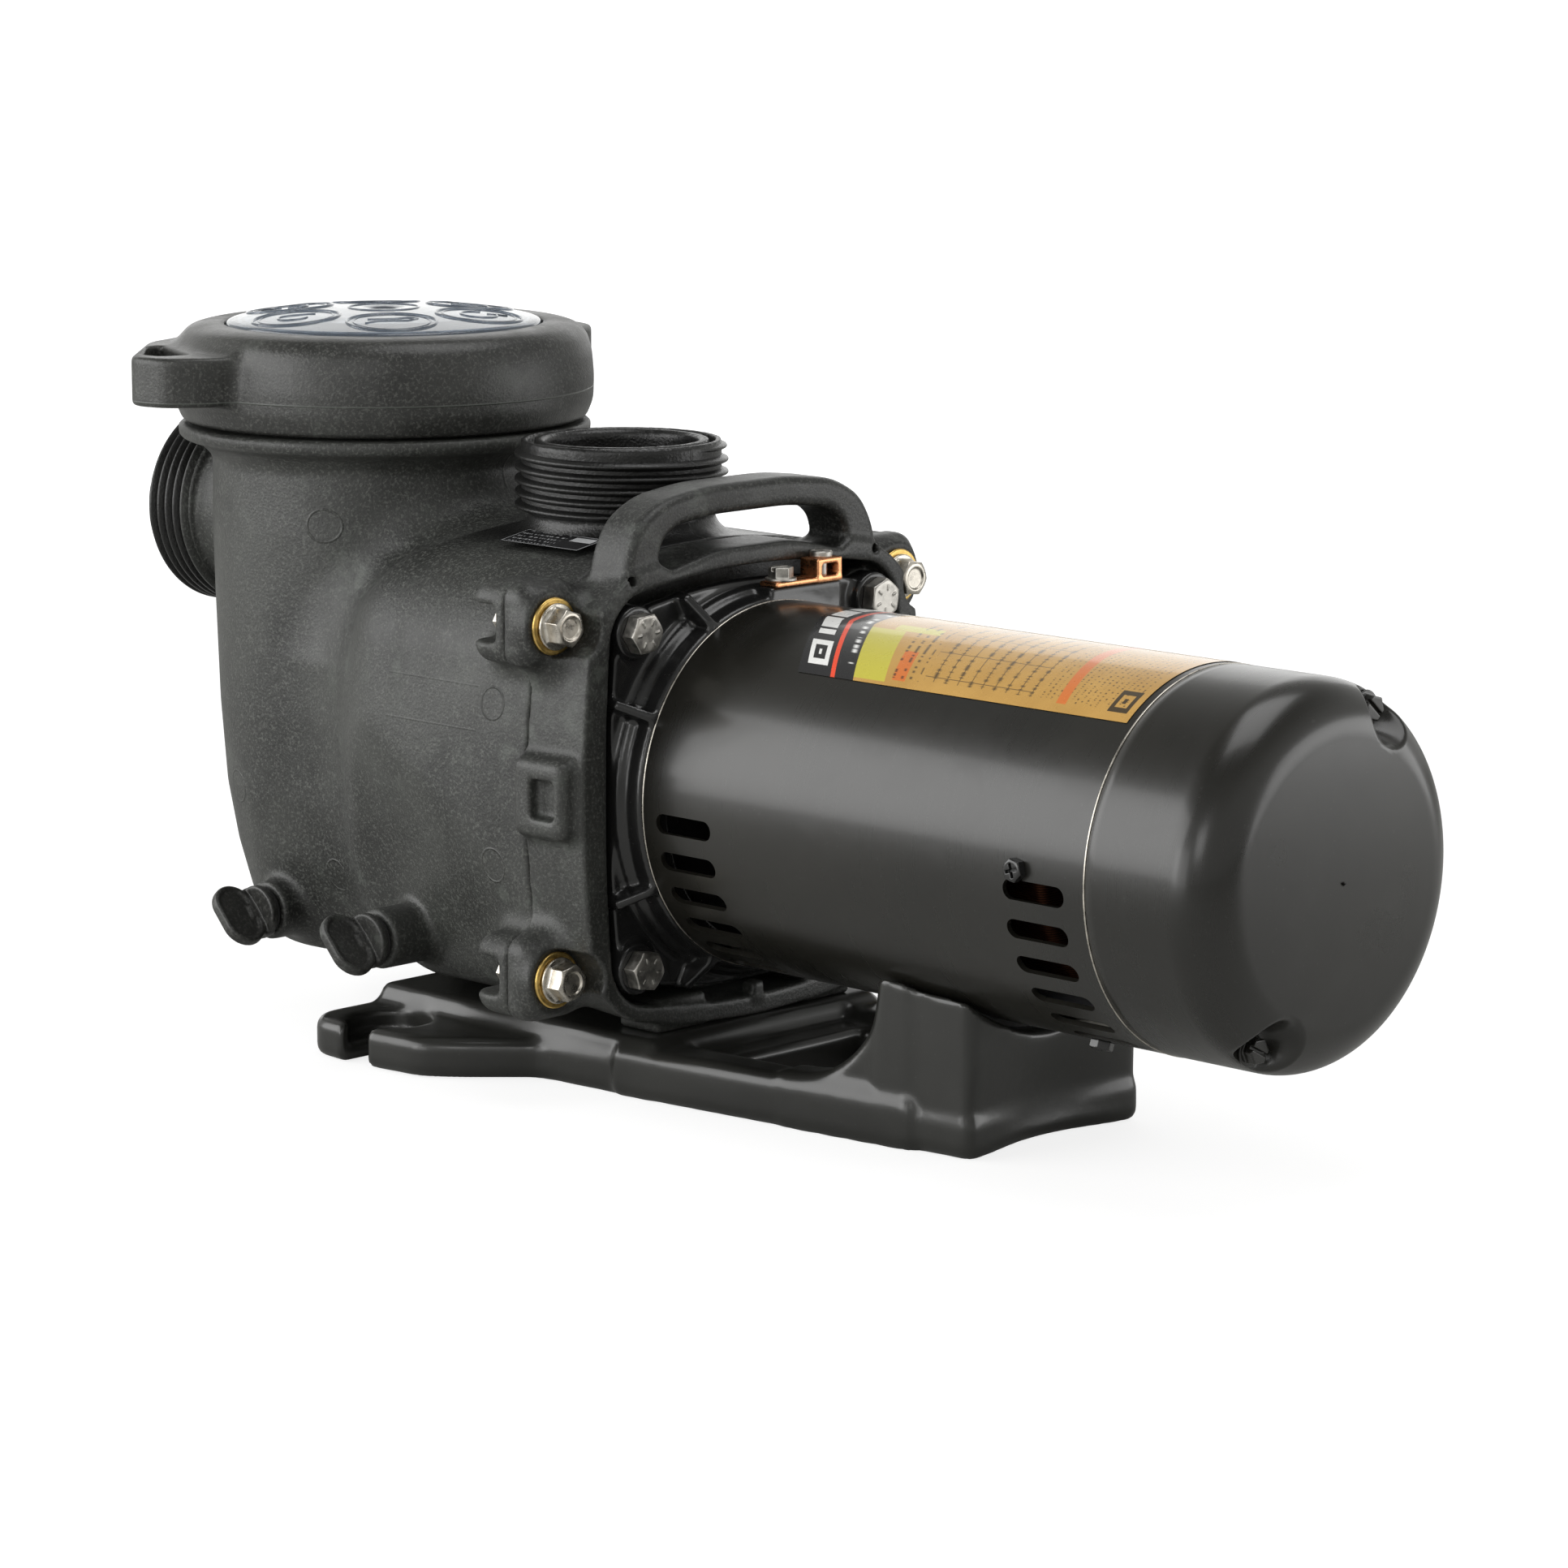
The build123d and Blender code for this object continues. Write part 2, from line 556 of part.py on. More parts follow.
def motor_bracket():
    rear = bulged_square(parting_x, 97.0, 92.0, **housing_corners)
    front = bulged_square(bracket_rim_x, 93.5, 93.0, 85.5, 81.0, 20.0)
    bracket = loft([rear, front])
    recess = extrude(bulged_square(web_dry_x, 81.0, 85.0, **recess_corners), 60.0)
    bracket -= recess
    bracket += along_x(web_wet_x, parting_x + 0.5, cavity_radius - 4.0)
    for y_sign in (-1, 1):
        for z in housing_bolt_z:
            bracket += bracket_lobe(y_sign, z)
        bracket += side_lug(y_sign)
        foot = box(base_bolt_x - 11.0, base_bolt_x + 11.0, y_sign * base_bolt_y - 13.0,
                   y_sign * base_bolt_y + 13.0, platform_height, 37.0)
        bracket += foot
    bracket += carrying_handle() - recess
    for y_sign in (-1, 1):
        for z_sign in (-1, 1):
            y, z = y_sign * bolt_square / 2, shaft_height + z_sign * bolt_square / 2
            pad = along_x(web_dry_x - 1.0, mount_face_x, 11.0, y, z)
            bracket += pad
            bracket -= along_x(web_dry_x + 1.0, mount_face_x + 1, 4.9, y, z)
    hub = along_x(web_dry_x - 1.0, web_dry_x + 5.0, 24.0)
    bracket += hub
    bracket -= along_x(web_wet_x - 1, web_wet_x + 10.0, seat_bore_radius)
    bracket -= along_x(web_wet_x, web_dry_x + 6.0, 13.0)
    for y_sign in (-1, 1):
        for z in housing_bolt_z:
            bracket -= along_x(parting_x - 1, boss_face_x + 1, housing_bolt_radius + bolt_clearance,
                               y_sign * housing_bolt_y, z)
            bracket -= along_x(boss_face_x, bracket_rim_x + 1, 12.0, y_sign * housing_bolt_y, z)
        bracket -= along_x(bracket_rim_x - 12.0, bracket_rim_x + 1, 2.0, y_sign * 66.1, shaft_height + 84.5)
        bracket -= upright(base_bolt_x, y_sign * base_bolt_y, platform_height - 1, 35.0, 3.9)
    groove = turned_on_shaft([
        (parting_x - 5.1, cavity_radius + 1), (parting_x - 5.1, cavity_radius - 4.1),
        (parting_x - 0.9, cavity_radius - 4.1), (parting_x - 0.9, cavity_radius + 1)])
    bracket -= groove
    tab = box(bracket_rim_x - 6.0, bracket_rim_x, -3.0, 3.0, shaft_height - 86.0, shaft_height - 80.5)
    return bracket + tab


def each_housing_bolt(make):
    pieces = []
    for y_sign in (-1, 1):
        for z in housing_bolt_z:
            pieces.append(make(y_sign * housing_bolt_y, z))
    return Compound(children=pieces)


def housing_bolts():
    """Hex-flange bolts through the bracket lobes into the captive nuts."""
    def bolt(y, z):
        seat = boss_face_x + washer_thickness
        piece = along_x(parting_x - 14.0, seat + 0.5, housing_bolt_radius, y, z)
        piece += along_x(seat, seat + 1.8, 9.0, y, z)
        piece += hex_bar(seat + 1.0, seat + 9.0, 13.0, y, z, 12.0)
        return piece - along_x(seat + 8.2, seat + 10.0, 4.4, y, z)
    return each_housing_bolt(bolt)


def housing_washers():
    def washer(y, z):
        disc = along_x(boss_face_x, boss_face_x + washer_thickness, 11.0, y, z)
        return disc - along_x(boss_face_x - 1, boss_face_x + 3, housing_bolt_radius + bolt_clearance, y, z)
    return each_housing_bolt(washer)


def captive_nuts():
    def nut(y, z):
        piece = hex_bar(parting_x - 12.0, parting_x - 5.0, 13.0, y, z, 0.0)
        return piece - along_x(parting_x - 13.0, parting_x, housing_bolt_radius + fit_gap, y, z)
    return each_housing_bolt(nut)


# ---- motor --------------------------------------------------------------------------------------
def bolt_corners():
    half = bolt_square / 2
    return [(y * half, shaft_height + z * half) for y in (-1, 1) for z in (-1, 1)]


def flange_bolts():
    pieces = []
    for y, z in bolt_corners():
        seat = mount_face_x + flange_thickness
        piece = along_x(web_dry_x + 2.0, seat + 0.5, 4.85, y, z)
        piece += hex_bar(seat, seat + 6.2, 14.3, y, z, 20.0)
        pieces.append(piece)
    return Compound(children=pieces)


def rib(angle):
    """Slanting stiffener from the flange's edge to the shell's edge."""
    outline = [(mount_face_x + 4.0, 66.0), (mount_face_x + 4.0, 86.0), (mount_face_x + flange_thickness, 86.0),
               (shell_front_x - 0.6, 74.5), (shell_front_x - 0.6, 66.0)]
    side = Plane(origin=(0, 0, shaft_height), x_dir=(1, 0, 0), z_dir=(0, -1, 0))
    web = extrude(side * make_face(Polyline(*outline, close=True)), 1.8, both=True)
    spin = Plane(origin=(0, 0, shaft_height), x_dir=(1, 0, 0), z_dir=(0, 0, 1))
    return spin * (Rot(angle - 90.0, 0, 0) * (Pos(0, 0, -shaft_height) * web))


def end_bell():
    plate = extrude(bulged_square(mount_face_x, 76.0, 79.0, 71.5, 70.0, 13.0), flange_thickness - 4.0)
    for y, z in bolt_corners():
        plate += along_x(mount_face_x, mount_face_x + flange_thickness, 9.5, y, z)
    bell = plate + along_x(mount_face_x, shell_front_x, 72.4)
    bell += along_x(mount_face_x, mount_face_x + flange_thickness, bell_ring_radius - 3.0)
    for y_angle in (45.0, 135.0, 225.0, 315.0):
        for spread in (-18.0, 18.0):
            bell += rib(y_angle + spread)
    bell += along_x(shell_front_x - 0.1, shell_front_x + 5.0, shell_radius - shell_wall - fit_gap)
    bell -= along_x(mount_face_x + 12.0, shell_front_x + 6.0, 63.0)
    bell += along_x(mount_face_x + 6.0, shell_front_x + 4.0, bearing_radius + 5.0)
    bell -= along_x(shell_front_x - 9.0, shell_front_x + 5.0, bearing_radius + fit_gap)
    bell -= along_x(mount_face_x - 1.0, shell_front_x, 12.0)
    bell -= along_x(mount_face_x - 1.0, mount_face_x + 4.0, 56.0)
    for y, z in bolt_corners():
        bell -= along_x(mount_face_x - 1, mount_face_x + flange_thickness + 1, 5.2, y, z)
    for k in range(4):
        y, z = on_circle(through_bolt_circle, through_bolt_angle + 90.0 * k)
        bell -= along_x(mount_face_x + 8.0, shell_front_x + 6.0, 2.7, y, z)
    bell += box(shell_front_x - 9.0, shell_front_x - fit_gap, -2.0, 37.0, shaft_height + 66.0, lug_seat_z)
    return bell - upright(lug_x, lug_fixing_y, lug_seat_z - 9.0, lug_seat_z + 1, 2.45)


def vent_cut(x, angle):
    slot = Plane(origin=(x, 0, 0), x_dir=(1, 0, 0), z_dir=(0, 0, 1)) * SlotOverall(vent_length, vent_height)
    cutter = extrude(Plane(origin=(0, 0, 50.0)) * slot, 40.0)
    return Pos(0, 0, shaft_height) * (Rot(angle - 90.0, 0, 0) * cutter)


def motor_shell():
    shell = along_x(shell_front_x, shell_front_x + shell_length, shell_radius)
    shell -= along_x(shell_front_x - 1, shell_front_x + shell_length + 1, shell_radius - shell_wall)
    for mirrored in (False, True):
        for k in range(vent_count):
            angle = vent_first_angle + vent_step * k
            if mirrored:
                angle = 180.0 - angle
            for station in vent_stations:
                shell -= vent_cut(shell_front_x + station, angle)
    for angle in shell_screw_angles:
        hole = extrude(Plane(origin=(shell_screw_x, 0, 60.0)) * Circle(2.3), 20.0)
        shell -= Pos(0, 0, shaft_height) * (Rot(angle - 90.0, 0, 0) * hole)
    return shell


def shell_screws():
    """Cross-recess hex screws through the shell's skin."""
    pieces = []
    for angle in shell_screw_angles:
        screw = extrude(Plane(origin=(shell_screw_x, 0, 66.0)) * Circle(2.2), 6.0)
        head_base = Plane(origin=(shell_screw_x, 0, shell_radius + 0.1))
        screw += extrude(head_base * RegularPolygon(3.9, 6, major_radius=False), 3.6)
        recess = Plane(origin=(shell_screw_x, 0, shell_radius + 2.2))
        cross = extrude(recess * Rectangle(1.0, 5.0), 3.0) + extrude(recess * Rectangle(5.0, 1.0), 3.0)
        pieces.append(Pos(0, 0, shaft_height) * (Rot(angle - 90.0, 0, 0) * (screw - cross)))
    return Compound(children=pieces)


def stator_core():
    core = along_x(stator_front_x, stator_front_x + stator_length, shell_radius - shell_wall - fit_gap)
    core -= along_x(stator_front_x - 1, stator_front_x + stator_length + 1, stator_bore)
    for k in range(24):
        spoke = box(stator_front_x - 1, stator_front_x + stator_length + 1, -2.6, 2.6, stator_bore + 2.0, 54.0)
        core -= Pos(0, 0, shaft_height) * (Rot(15.0 * k, 0, 0) * spoke)
    for k in range(4):
        y, z = on_circle(through_bolt_circle, through_bolt_angle + 90.0 * k)
        core -= along_x(stator_front_x - 1, stator_front_x + stator_length + 1, 3.4, y, z)
        core -= box(stator_front_x - 1, stator_front_x + stator_length + 1, y - 0.5, y + 0.5, z - 0.5, z + 0.5)
    return core


def stator_windings():
    inner, outer, overhang = stator_bore + 3.0, 56.0, 24.0
    coils = along_x(stator_front_x - overhang, stator_front_x - fit_gap, outer)
    rear_x = stator_front_x + stator_length
    coils += along_x(rear_x + fit_gap, rear_x + overhang, outer)
    coils -= along_x(stator_front_x - overhang - 1, rear_x + overhang + 1, inner)
    for k in range(24):
        leg = box(stator_front_x - 2.0, rear_x + 2.0, -2.4, 2.4, stator_bore + 4.0, 53.0)
        coils += Pos(0, 0, shaft_height) * (Rot(15.0 * k, 0, 0) * leg)
    return fillet(coils.edges().group_by(Axis.X)[0] + coils.edges().group_by(Axis.X)[-1], 4.0)


def rotor_core():
    core = along_x(stator_front_x, stator_front_x + stator_length, stator_bore - air_gap)
    core += along_x(stator_front_x - 9.0, stator_front_x + stator_length + 9.0, stator_bore - 5.0)
    core -= along_x(stator_front_x - 10.0, stator_front_x + stator_length + 10.0, 11.0 + fit_gap)
    return core


def motor_shaft():
    shaft = along_x(impeller_front_x + 6.0 + fit_gap, front_bearing_x, shaft_radius)
    shaft += along_x(front_bearing_x, rear_bearing_x + bearing_width, journal_radius)
    shaft += along_x(front_bearing_x + bearing_width + 1.0, rear_bearing_x - 1.0, 11.0)
    shaft += along_x(rear_bearing_x + bearing_width, shell_front_x + 250.0, 6.0)
    shaft -= along_x(impeller_front_x, impeller_front_x + 22.0, 4.0 + fit_gap)
    slot = box(shell_front_x + 247.0, shell_front_x + 251.0, -8.0, 8.0, shaft_height - 0.8, shaft_height + 0.8)
    return shaft - slot


def bearing_outer(x):
    race = along_x(x, x + bearing_width, bearing_radius)
    race -= along_x(x - 1, x + bearing_width + 1, bearing_radius - 3.6)
    groove = frame_at(x + bearing_width / 2) * Torus((bearing_radius + journal_radius) / 2, 3.6)
    return race - groove


def bearing_inner(x):
    """Inner race with its ball set."""
    race = along_x(x, x + bearing_width, journal_radius + 3.4)
    race -= along_x(x - 1, x + bearing_width + 1, journal_radius + fit_gap)
    middle = (bearing_radius + journal_radius) / 2
    for k in range(8):
        y, z = on_circle(middle, 45.0 * k)
        race += Pos(x + bearing_width / 2, y, z) * Sphere(3.5)
    return race


def wave_washer():
    x = front_bearing_x + bearing_width
    ring = along_x(x, x + 0.8, bearing_radius - 0.5)
    return ring - along_x(x - 1, x + 2.0, bearing_radius - 4.5)


def shaft_slinger():
    """Rubber disc that throws leaked water off the shaft."""
    x = web_dry_x + 8.0
    disc = along_x(x, x + 2.5, 19.0) + along_x(x, x + 6.0, 11.5)
    return disc - along_x(x - 1, x + 7.0, shaft_radius + fit_gap)


def cooling_fan():
    x = shell_front_x + 192.0
    hub = along_x(x - 10.0, x, 16.0)
    fan = hub + along_x(x - 2.0, x, 34.0)
    for k in range(9):
        blade = box(x - 10.0, x - 1.0, -1.2, 1.2, 14.0, 34.0)
        fan += Pos(0, 0, shaft_height) * (Rot(40.0 * k, 0, 0) * blade)
    return fan - along_x(x - 11.0, x + 1.0, 11.0 + fit_gap)


def rear_bell():
    rim_x = shell_front_x + shell_length
    bell = along_x(rim_x - 10.0, rim_x - 0.5, shell_radius - shell_wall - fit_gap)
    bell += along_x(rim_x - 0.5, rim_x + 6.0, shell_radius - shell_wall - fit_gap)
    bell -= along_x(rim_x - 11.0, rim_x - 4.0, 62.0)
    bell += along_x(rear_bearing_x - 2.0, rim_x + 2.0, bearing_radius + 4.0)
    bell -= along_x(rear_bearing_x - 3.0, rear_bearing_x + bearing_width + 0.5, bearing_radius + fit_gap)
    bell -= along_x(rear_bearing_x, rim_x + 7.0, 12.5)
    bell -= along_x(rim_x + 2.0, rim_x + 7.0, 60.0)
    for k in range(6):
        window = box(rim_x - 5.0, rim_x + 4.0, -11.0, 11.0, 30.0, 52.0)
        bell -= Pos(0, 0, shaft_height) * (Rot(60.0 * k, 0, 0) * window)
    for k in range(4):
        y, z = on_circle(through_bolt_circle, through_bolt_angle + 90.0 * k)
        bell -= along_x(rim_x - 11.0, rim_x + 8.0, 2.7, y, z)
    return bell


def round_cup(x0, x1, radius, shoulder):
    cup = along_x(x0, x1, radius)
    return fillet(cup.edges().group_by(Axis.X)[-1], shoulder)


def canopy():
    start = shell_front_x + shell_length
    end = start + canopy_length
    blank = round_cup(start + 0.1, end, shell_radius, canopy_shoulder)
    inside = round_cup(start - 1, end - canopy_wall, shell_radius - canopy_wall, canopy_shoulder - canopy_wall)
    cup = blank - inside
    dimple_x = end - canopy_dimple_depth
    for turn in (0.0, 180.0):
        y, z = on_circle(through_bolt_circle, through_bolt_angle + turn)
        seat = along_x(dimple_x - canopy_wall, dimple_x, 8.2, y, z)
        wall = along_x(dimple_x - canopy_wall, end, 8.2, y, z) - along_x(dimple_x - 2, end + 1, 7.0, y, z)
        cup += (seat + wall) & blank
        cup -= along_x(dimple_x, end + 1, 7.0, y, z)
        cup -= along_x(dimple_x - 3.0, end, 2.7, y, z)
    return cup


def canopy_screws():
    pieces = []
    for turn in (0.0, 180.0):
        y, z = on_circle(through_bolt_circle, through_bolt_angle + turn)
        seat = shell_front_x + shell_length + canopy_length - canopy_dimple_depth
        screw = along_x(seat, seat + 1.2, 6.2, y, z) + hex_bar(seat + 1.0, seat + 5.4, 8.6, y, z, 15.0)
        slot = box(seat + 3.9, seat + 6.0, -6.0, 6.0, -0.7, 0.7)
        screw -= Pos(0, y, z) * (Rot(35.0, 0, 0) * slot)
        screw += along_x(seat - 12.0, seat + 0.5, 2.4, y, z)
        pieces.append(screw)
    return Compound(children=pieces)


def through_bolts():
    """Four long bolts that clamp both bells to the shell."""
    pieces = []
    for k in range(4):
        y, z = on_circle(through_bolt_circle, through_bolt_angle + 90.0 * k)
        nut_x = shell_front_x + shell_length + 2.0
        rod = along_x(mount_face_x + 10.0, nut_x + 9.0, 2.4, y, z)
        rod += hex_bar(nut_x + 4.0 + fit_gap, nut_x + 8.0, 7.0, y, z)
        pieces.append(rod)
    return Compound(children=pieces)


def governor():
    """Centrifugal switch actuator on the rear shaft."""
    x = shell_front_x + 227.0
    body = along_x(x, x + 3.0, 20.0) + along_x(x, x + 13.0, 11.0) + along_x(x + 9.0, x + 12.0, 18.0)
    for k in range(2):
        weight = box(x + 2.5, x + 9.5, -8.0, 8.0, 12.0, 18.0)
        body += Pos(0, 0, shaft_height) * (Rot(180.0 * k, 0, 0) * weight)
    return body - along_x(x - 1, x + 14.0, 6.0 + fit_gap)


def switch_board():
    """Terminal and switch board on two posts off the rear bell."""
    x = shell_front_x + 243.0
    board = box(x, x + 3.0, -50.0, -14.0, shaft_height - 22.0, shaft_height + 30.0)
    for z in (-16.0, 24.0):
        board += along_x(shell_front_x + shell_length + 2.0, x + 1.0, 3.5, -44.0, shaft_height + z)
    for k in range(4):
        board += box(x + 2.0, x + 9.0, -46.0, -40.0, shaft_height - 10.0 + 9.0 * k, shaft_height - 6.0 + 9.0 * k)
    return board


def start_capacitor():
    x = shell_front_x + shell_length + 2.0
    can = along_x(x, x + 44.0, 17.0, 27.0, shaft_height - 32.0)
    can += box(x + 42.0, x + 48.0, 23.0, 25.0, shaft_height - 38.0, shaft_height - 32.0)
    return can + box(x + 42.0, x + 48.0, 30.0, 32.0, shaft_height - 38.0, shaft_height - 32.0)


def ground_lug():
    """Bonding lug: a bent copper strap with a wire channel, on the front bell's edge."""
    x0, x1 = lug_x - 5.0, lug_x + 5.0
    low, high = lug_clamp_y - 6.7, lug_clamp_y + 6.8
    strap = box(x0, x1, 0.0, high, lug_seat_z, lug_seat_z + 2.0)
    strap += box(x0, x1, low, low + 2.5, lug_seat_z, lug_seat_z + 9.0)
    strap += box(x0, x1, high - 2.5, high, lug_seat_z, lug_seat_z + 9.0)
    strap += box(x0, x1, low, high, lug_seat_z + 7.0, lug_seat_z + 9.0)
    strap -= upright(lug_x, lug_fixing_y, lug_seat_z - 1, lug_seat_z + 3, 2.8)
    return strap - upright(lug_x, lug_clamp_y, lug_seat_z + 5, lug_seat_z + 10, 2.6)


def ground_lug_screws():
    top = lug_seat_z + 2.0
    fixing = upright(lug_x, lug_fixing_y, top - 8.0, top + 1.0, 2.4)
    fixing += upright(lug_x, lug_fixing_y, top, top + 1.0, 5.6)
    head = Plane(origin=(lug_x, lug_fixing_y, top + 0.8)) * RegularPolygon(4.2, 6, major_radius=False)
    fixing += extrude(head, 3.6)
    clamp = upright(lug_x, lug_clamp_y, top + 0.2, top + 8.5, 2.4)
    clamp += upright(lug_x, lug_clamp_y, top + 7.0 + fit_gap, top + 9.6, 4.4)
    clamp -= box(lug_x - 5.0, lug_x + 5.0, lug_clamp_y - 0.6, lug_clamp_y + 0.6, top + 8.4, top + 12.0)
    return Compound(children=[fixing, clamp])


def motor_label():
    """Rating sheet wrapped over the shell's top."""
    sheet = along_x(label_front_x, label_rear_x, shell_radius + 0.22)
    sheet -= along_x(label_front_x - 1, label_rear_x + 1, shell_radius + fit_gap)
    corners = [(0, 0)]
    for step in range(5):
        a = math.radians(52.0 + 77.0 * step / 4)
        corners.append((110.0 * math.cos(a), 110.0 * math.sin(a)))
    wedge = extrude(frame_at(label_front_x - 1) * make_face(Polyline(*corners, close=True)), 200.0)
    return sheet & wedge


def pump_label():
    """Small rating plate on the housing's shoulder."""
    tilt = 10.0
    plate = Box(44.0, 16.0, 0.3)
    return Pos(discharge_x + 7.5, -44.5, 208.3) * (Rot(tilt, 0, 0) * plate)


# ---- base -------------------------------------------------------------------------------------------
def base():
    side = [(148.0, 47.0), (115.5, 50.0), (22.7, 60.4), (-40.0, 66.3), (-60.0, 68.4), (-84.0, 92.0),
            (-97.0, 101.5), (-123.4, 104.3), (-137.8, 105.0), (-155.0, 103.5), (-163.0, 94.0), (-163.0, 60.0)]
    outline = [(shell_front_x + x, y) for x, y in side]
    outline += [(x, -y) for x, y in reversed(outline)]
    foot = extrude(make_face(Polyline(*outline, close=True)), ear_height)
    platform = box(-30.0, shell_front_x - 4.0, -66.0, 66.0, 0, platform_height)
    platform = fillet(platform.edges().filter_by(Axis.Z), 10.0)
    body = foot + (platform & extrude(make_face(Polyline(*outline, close=True)), 60.0))
    for y_sign in (-1, 1):
        arm = [(shell_front_x - 20.0, 66.0), (shell_front_x + 120.0, 50.0), (shell_front_x + 120.0, 36.0),
               (shell_front_x - 20.0, 44.0)]
        arm = [(x, y_sign * y) for x, y in arm]
        body += extrude(make_face(Polyline(*arm, close=True)), arm_height)
    for y_sign in (-1, 1):
        y0, y1 = sorted((y_sign * 36.0, y_sign * 50.5))
        body += box(shell_front_x + 84.0, shell_front_x + 110.0, y0, y1, 0, arm_height + 24.0)
        body -= arm_sweep(y_sign)
    block = box(shell_front_x + 106.0, shell_front_x + 148.0, -47.0, 47.0, 0, saddle_height + 22.0)
    block = fillet(block.edges().filter_by(Axis.Z), 8.0)
    body += block & (extrude(make_face(Polyline(*outline, close=True)), 100.0))
    body -= along_x(shell_front_x - 40.0, shell_front_x + 200.0, shell_radius + 2.0)
    body -= box(shell_front_x + 14.0, shell_front_x + 88.0, -36.0, 36.0, -1, platform_height + 30.0)
    scoop = Pos(shell_front_x + 158.0, 0, 30.0) * Sphere(30.0)
    body -= scoop
    for y_sign in (-1, 1):
        y0, y1 = sorted((y_sign * slot_inner_y, y_sign * 120.0))
        body -= box(-slot_width / 2, slot_width / 2, y0, y1, -1, 40.0)
        body -= upright(0, y_sign * slot_inner_y, -1, 40.0, slot_width / 2)
        body -= upright(-2.0, y_sign * slot_recess_y, 7.0, 40.0, slot_recess_radius)
        x, y = base_bolt_x, y_sign * base_bolt_y
        body -= upright(x, y, -1, platform_height + 1, 4.3)
        body -= upright(x, y, -1, 9.0, 9.0)
    body -= box(-20.0, shell_front_x - 44.0, -54.0, 54.0, -1, 12.0)
    return body


def arm_sweep(y_sign):
    """Round cutter that sweeps each side arm up into the rear block."""
    x, z = shell_front_x + 84.0, arm_height + 24.0
    cutter = Plane(origin=(x, y_sign * 60.0, z), x_dir=(1, 0, 0), z_dir=(0, -y_sign, 0)) * Circle(24.0)
    return extrude(cutter, 40.0)


def base_bolts():
    pieces = []
    for y_sign in (-1, 1):
        x, y = base_bolt_x, y_sign * base_bolt_y
        head = Plane(origin=(x, y, 9.0 - 5.3)) * RegularPolygon(6.5, 6, major_radius=False)
        pieces.append(extrude(head, 5.3) + upright(x, y, 8.0, 34.0, 3.88))
    return Compound(children=pieces)


def motor_pad():
    """Rubber strip between the saddle and the shell."""
    pad = along_x(shell_front_x + 100.0, shell_front_x + 138.0, shell_radius + 2.0 - fit_gap)
    pad -= along_x(shell_front_x + 99.0, shell_front_x + 139.0, shell_radius + fit_gap)
    return pad & box(shell_front_x + 90.0, shell_front_x + 150.0, -34.0, 34.0, 0, shaft_height)


# ---- drain plugs ------------------------------------------------------------------------------------------
def drain_plug(place):
    """Wing plug: round cap, plain shank and one flat oval grip."""
    x, y, z = place
    seat_gap = 2.6
    spot = Plane(origin=(x, y - seat_gap, z), x_dir=(1, 0, 0), z_dir=(0, -1, 0))
    plug = extrude(Circle(drain_cap_radius), drain_cap_thickness)
    plug += extrude(Circle(drain_shank_radius), -(drain_shank_length + seat_gap))
    wing_face = Plane(origin=(0, -drain_wing_thickness / 2, 0), x_dir=(1, 0, 0), z_dir=(0, 1, 0))
    half, reach = drain_wing_width / 2, drain_wing_reach
    outline = make_face(Polyline((-half, -5.0), (-half, -reach + 7.0), (-half + 3.0, -reach + 2.0),
                                 (-half + 8.0, -reach), (half - 8.0, -reach), (half - 3.0, -reach + 2.0),
                                 (half, -reach + 7.0), (half, -5.0), (half - 3.0, 0.0), (-half + 3.0, 0.0),
                                 close=True))
    wing = extrude(wing_face * outline, drain_wing_thickness)
    wing = fillet(wing.edges().filter_by(Axis.Y), 1.5)
    plug += Pos(0, 0, drain_cap_thickness - 0.5) * (Rot(0, 0, -drain_wing_tilt) * wing)
    return spot * plug


def drain_o_ring(place):
    x, y, z = place
    spot = Plane(origin=(x, y - 1.3, z), x_dir=(1, 0, 0), z_dir=(0, -1, 0))
    return spot * Torus(drain_shank_radius + 1.7, 1.3 - fit_gap)


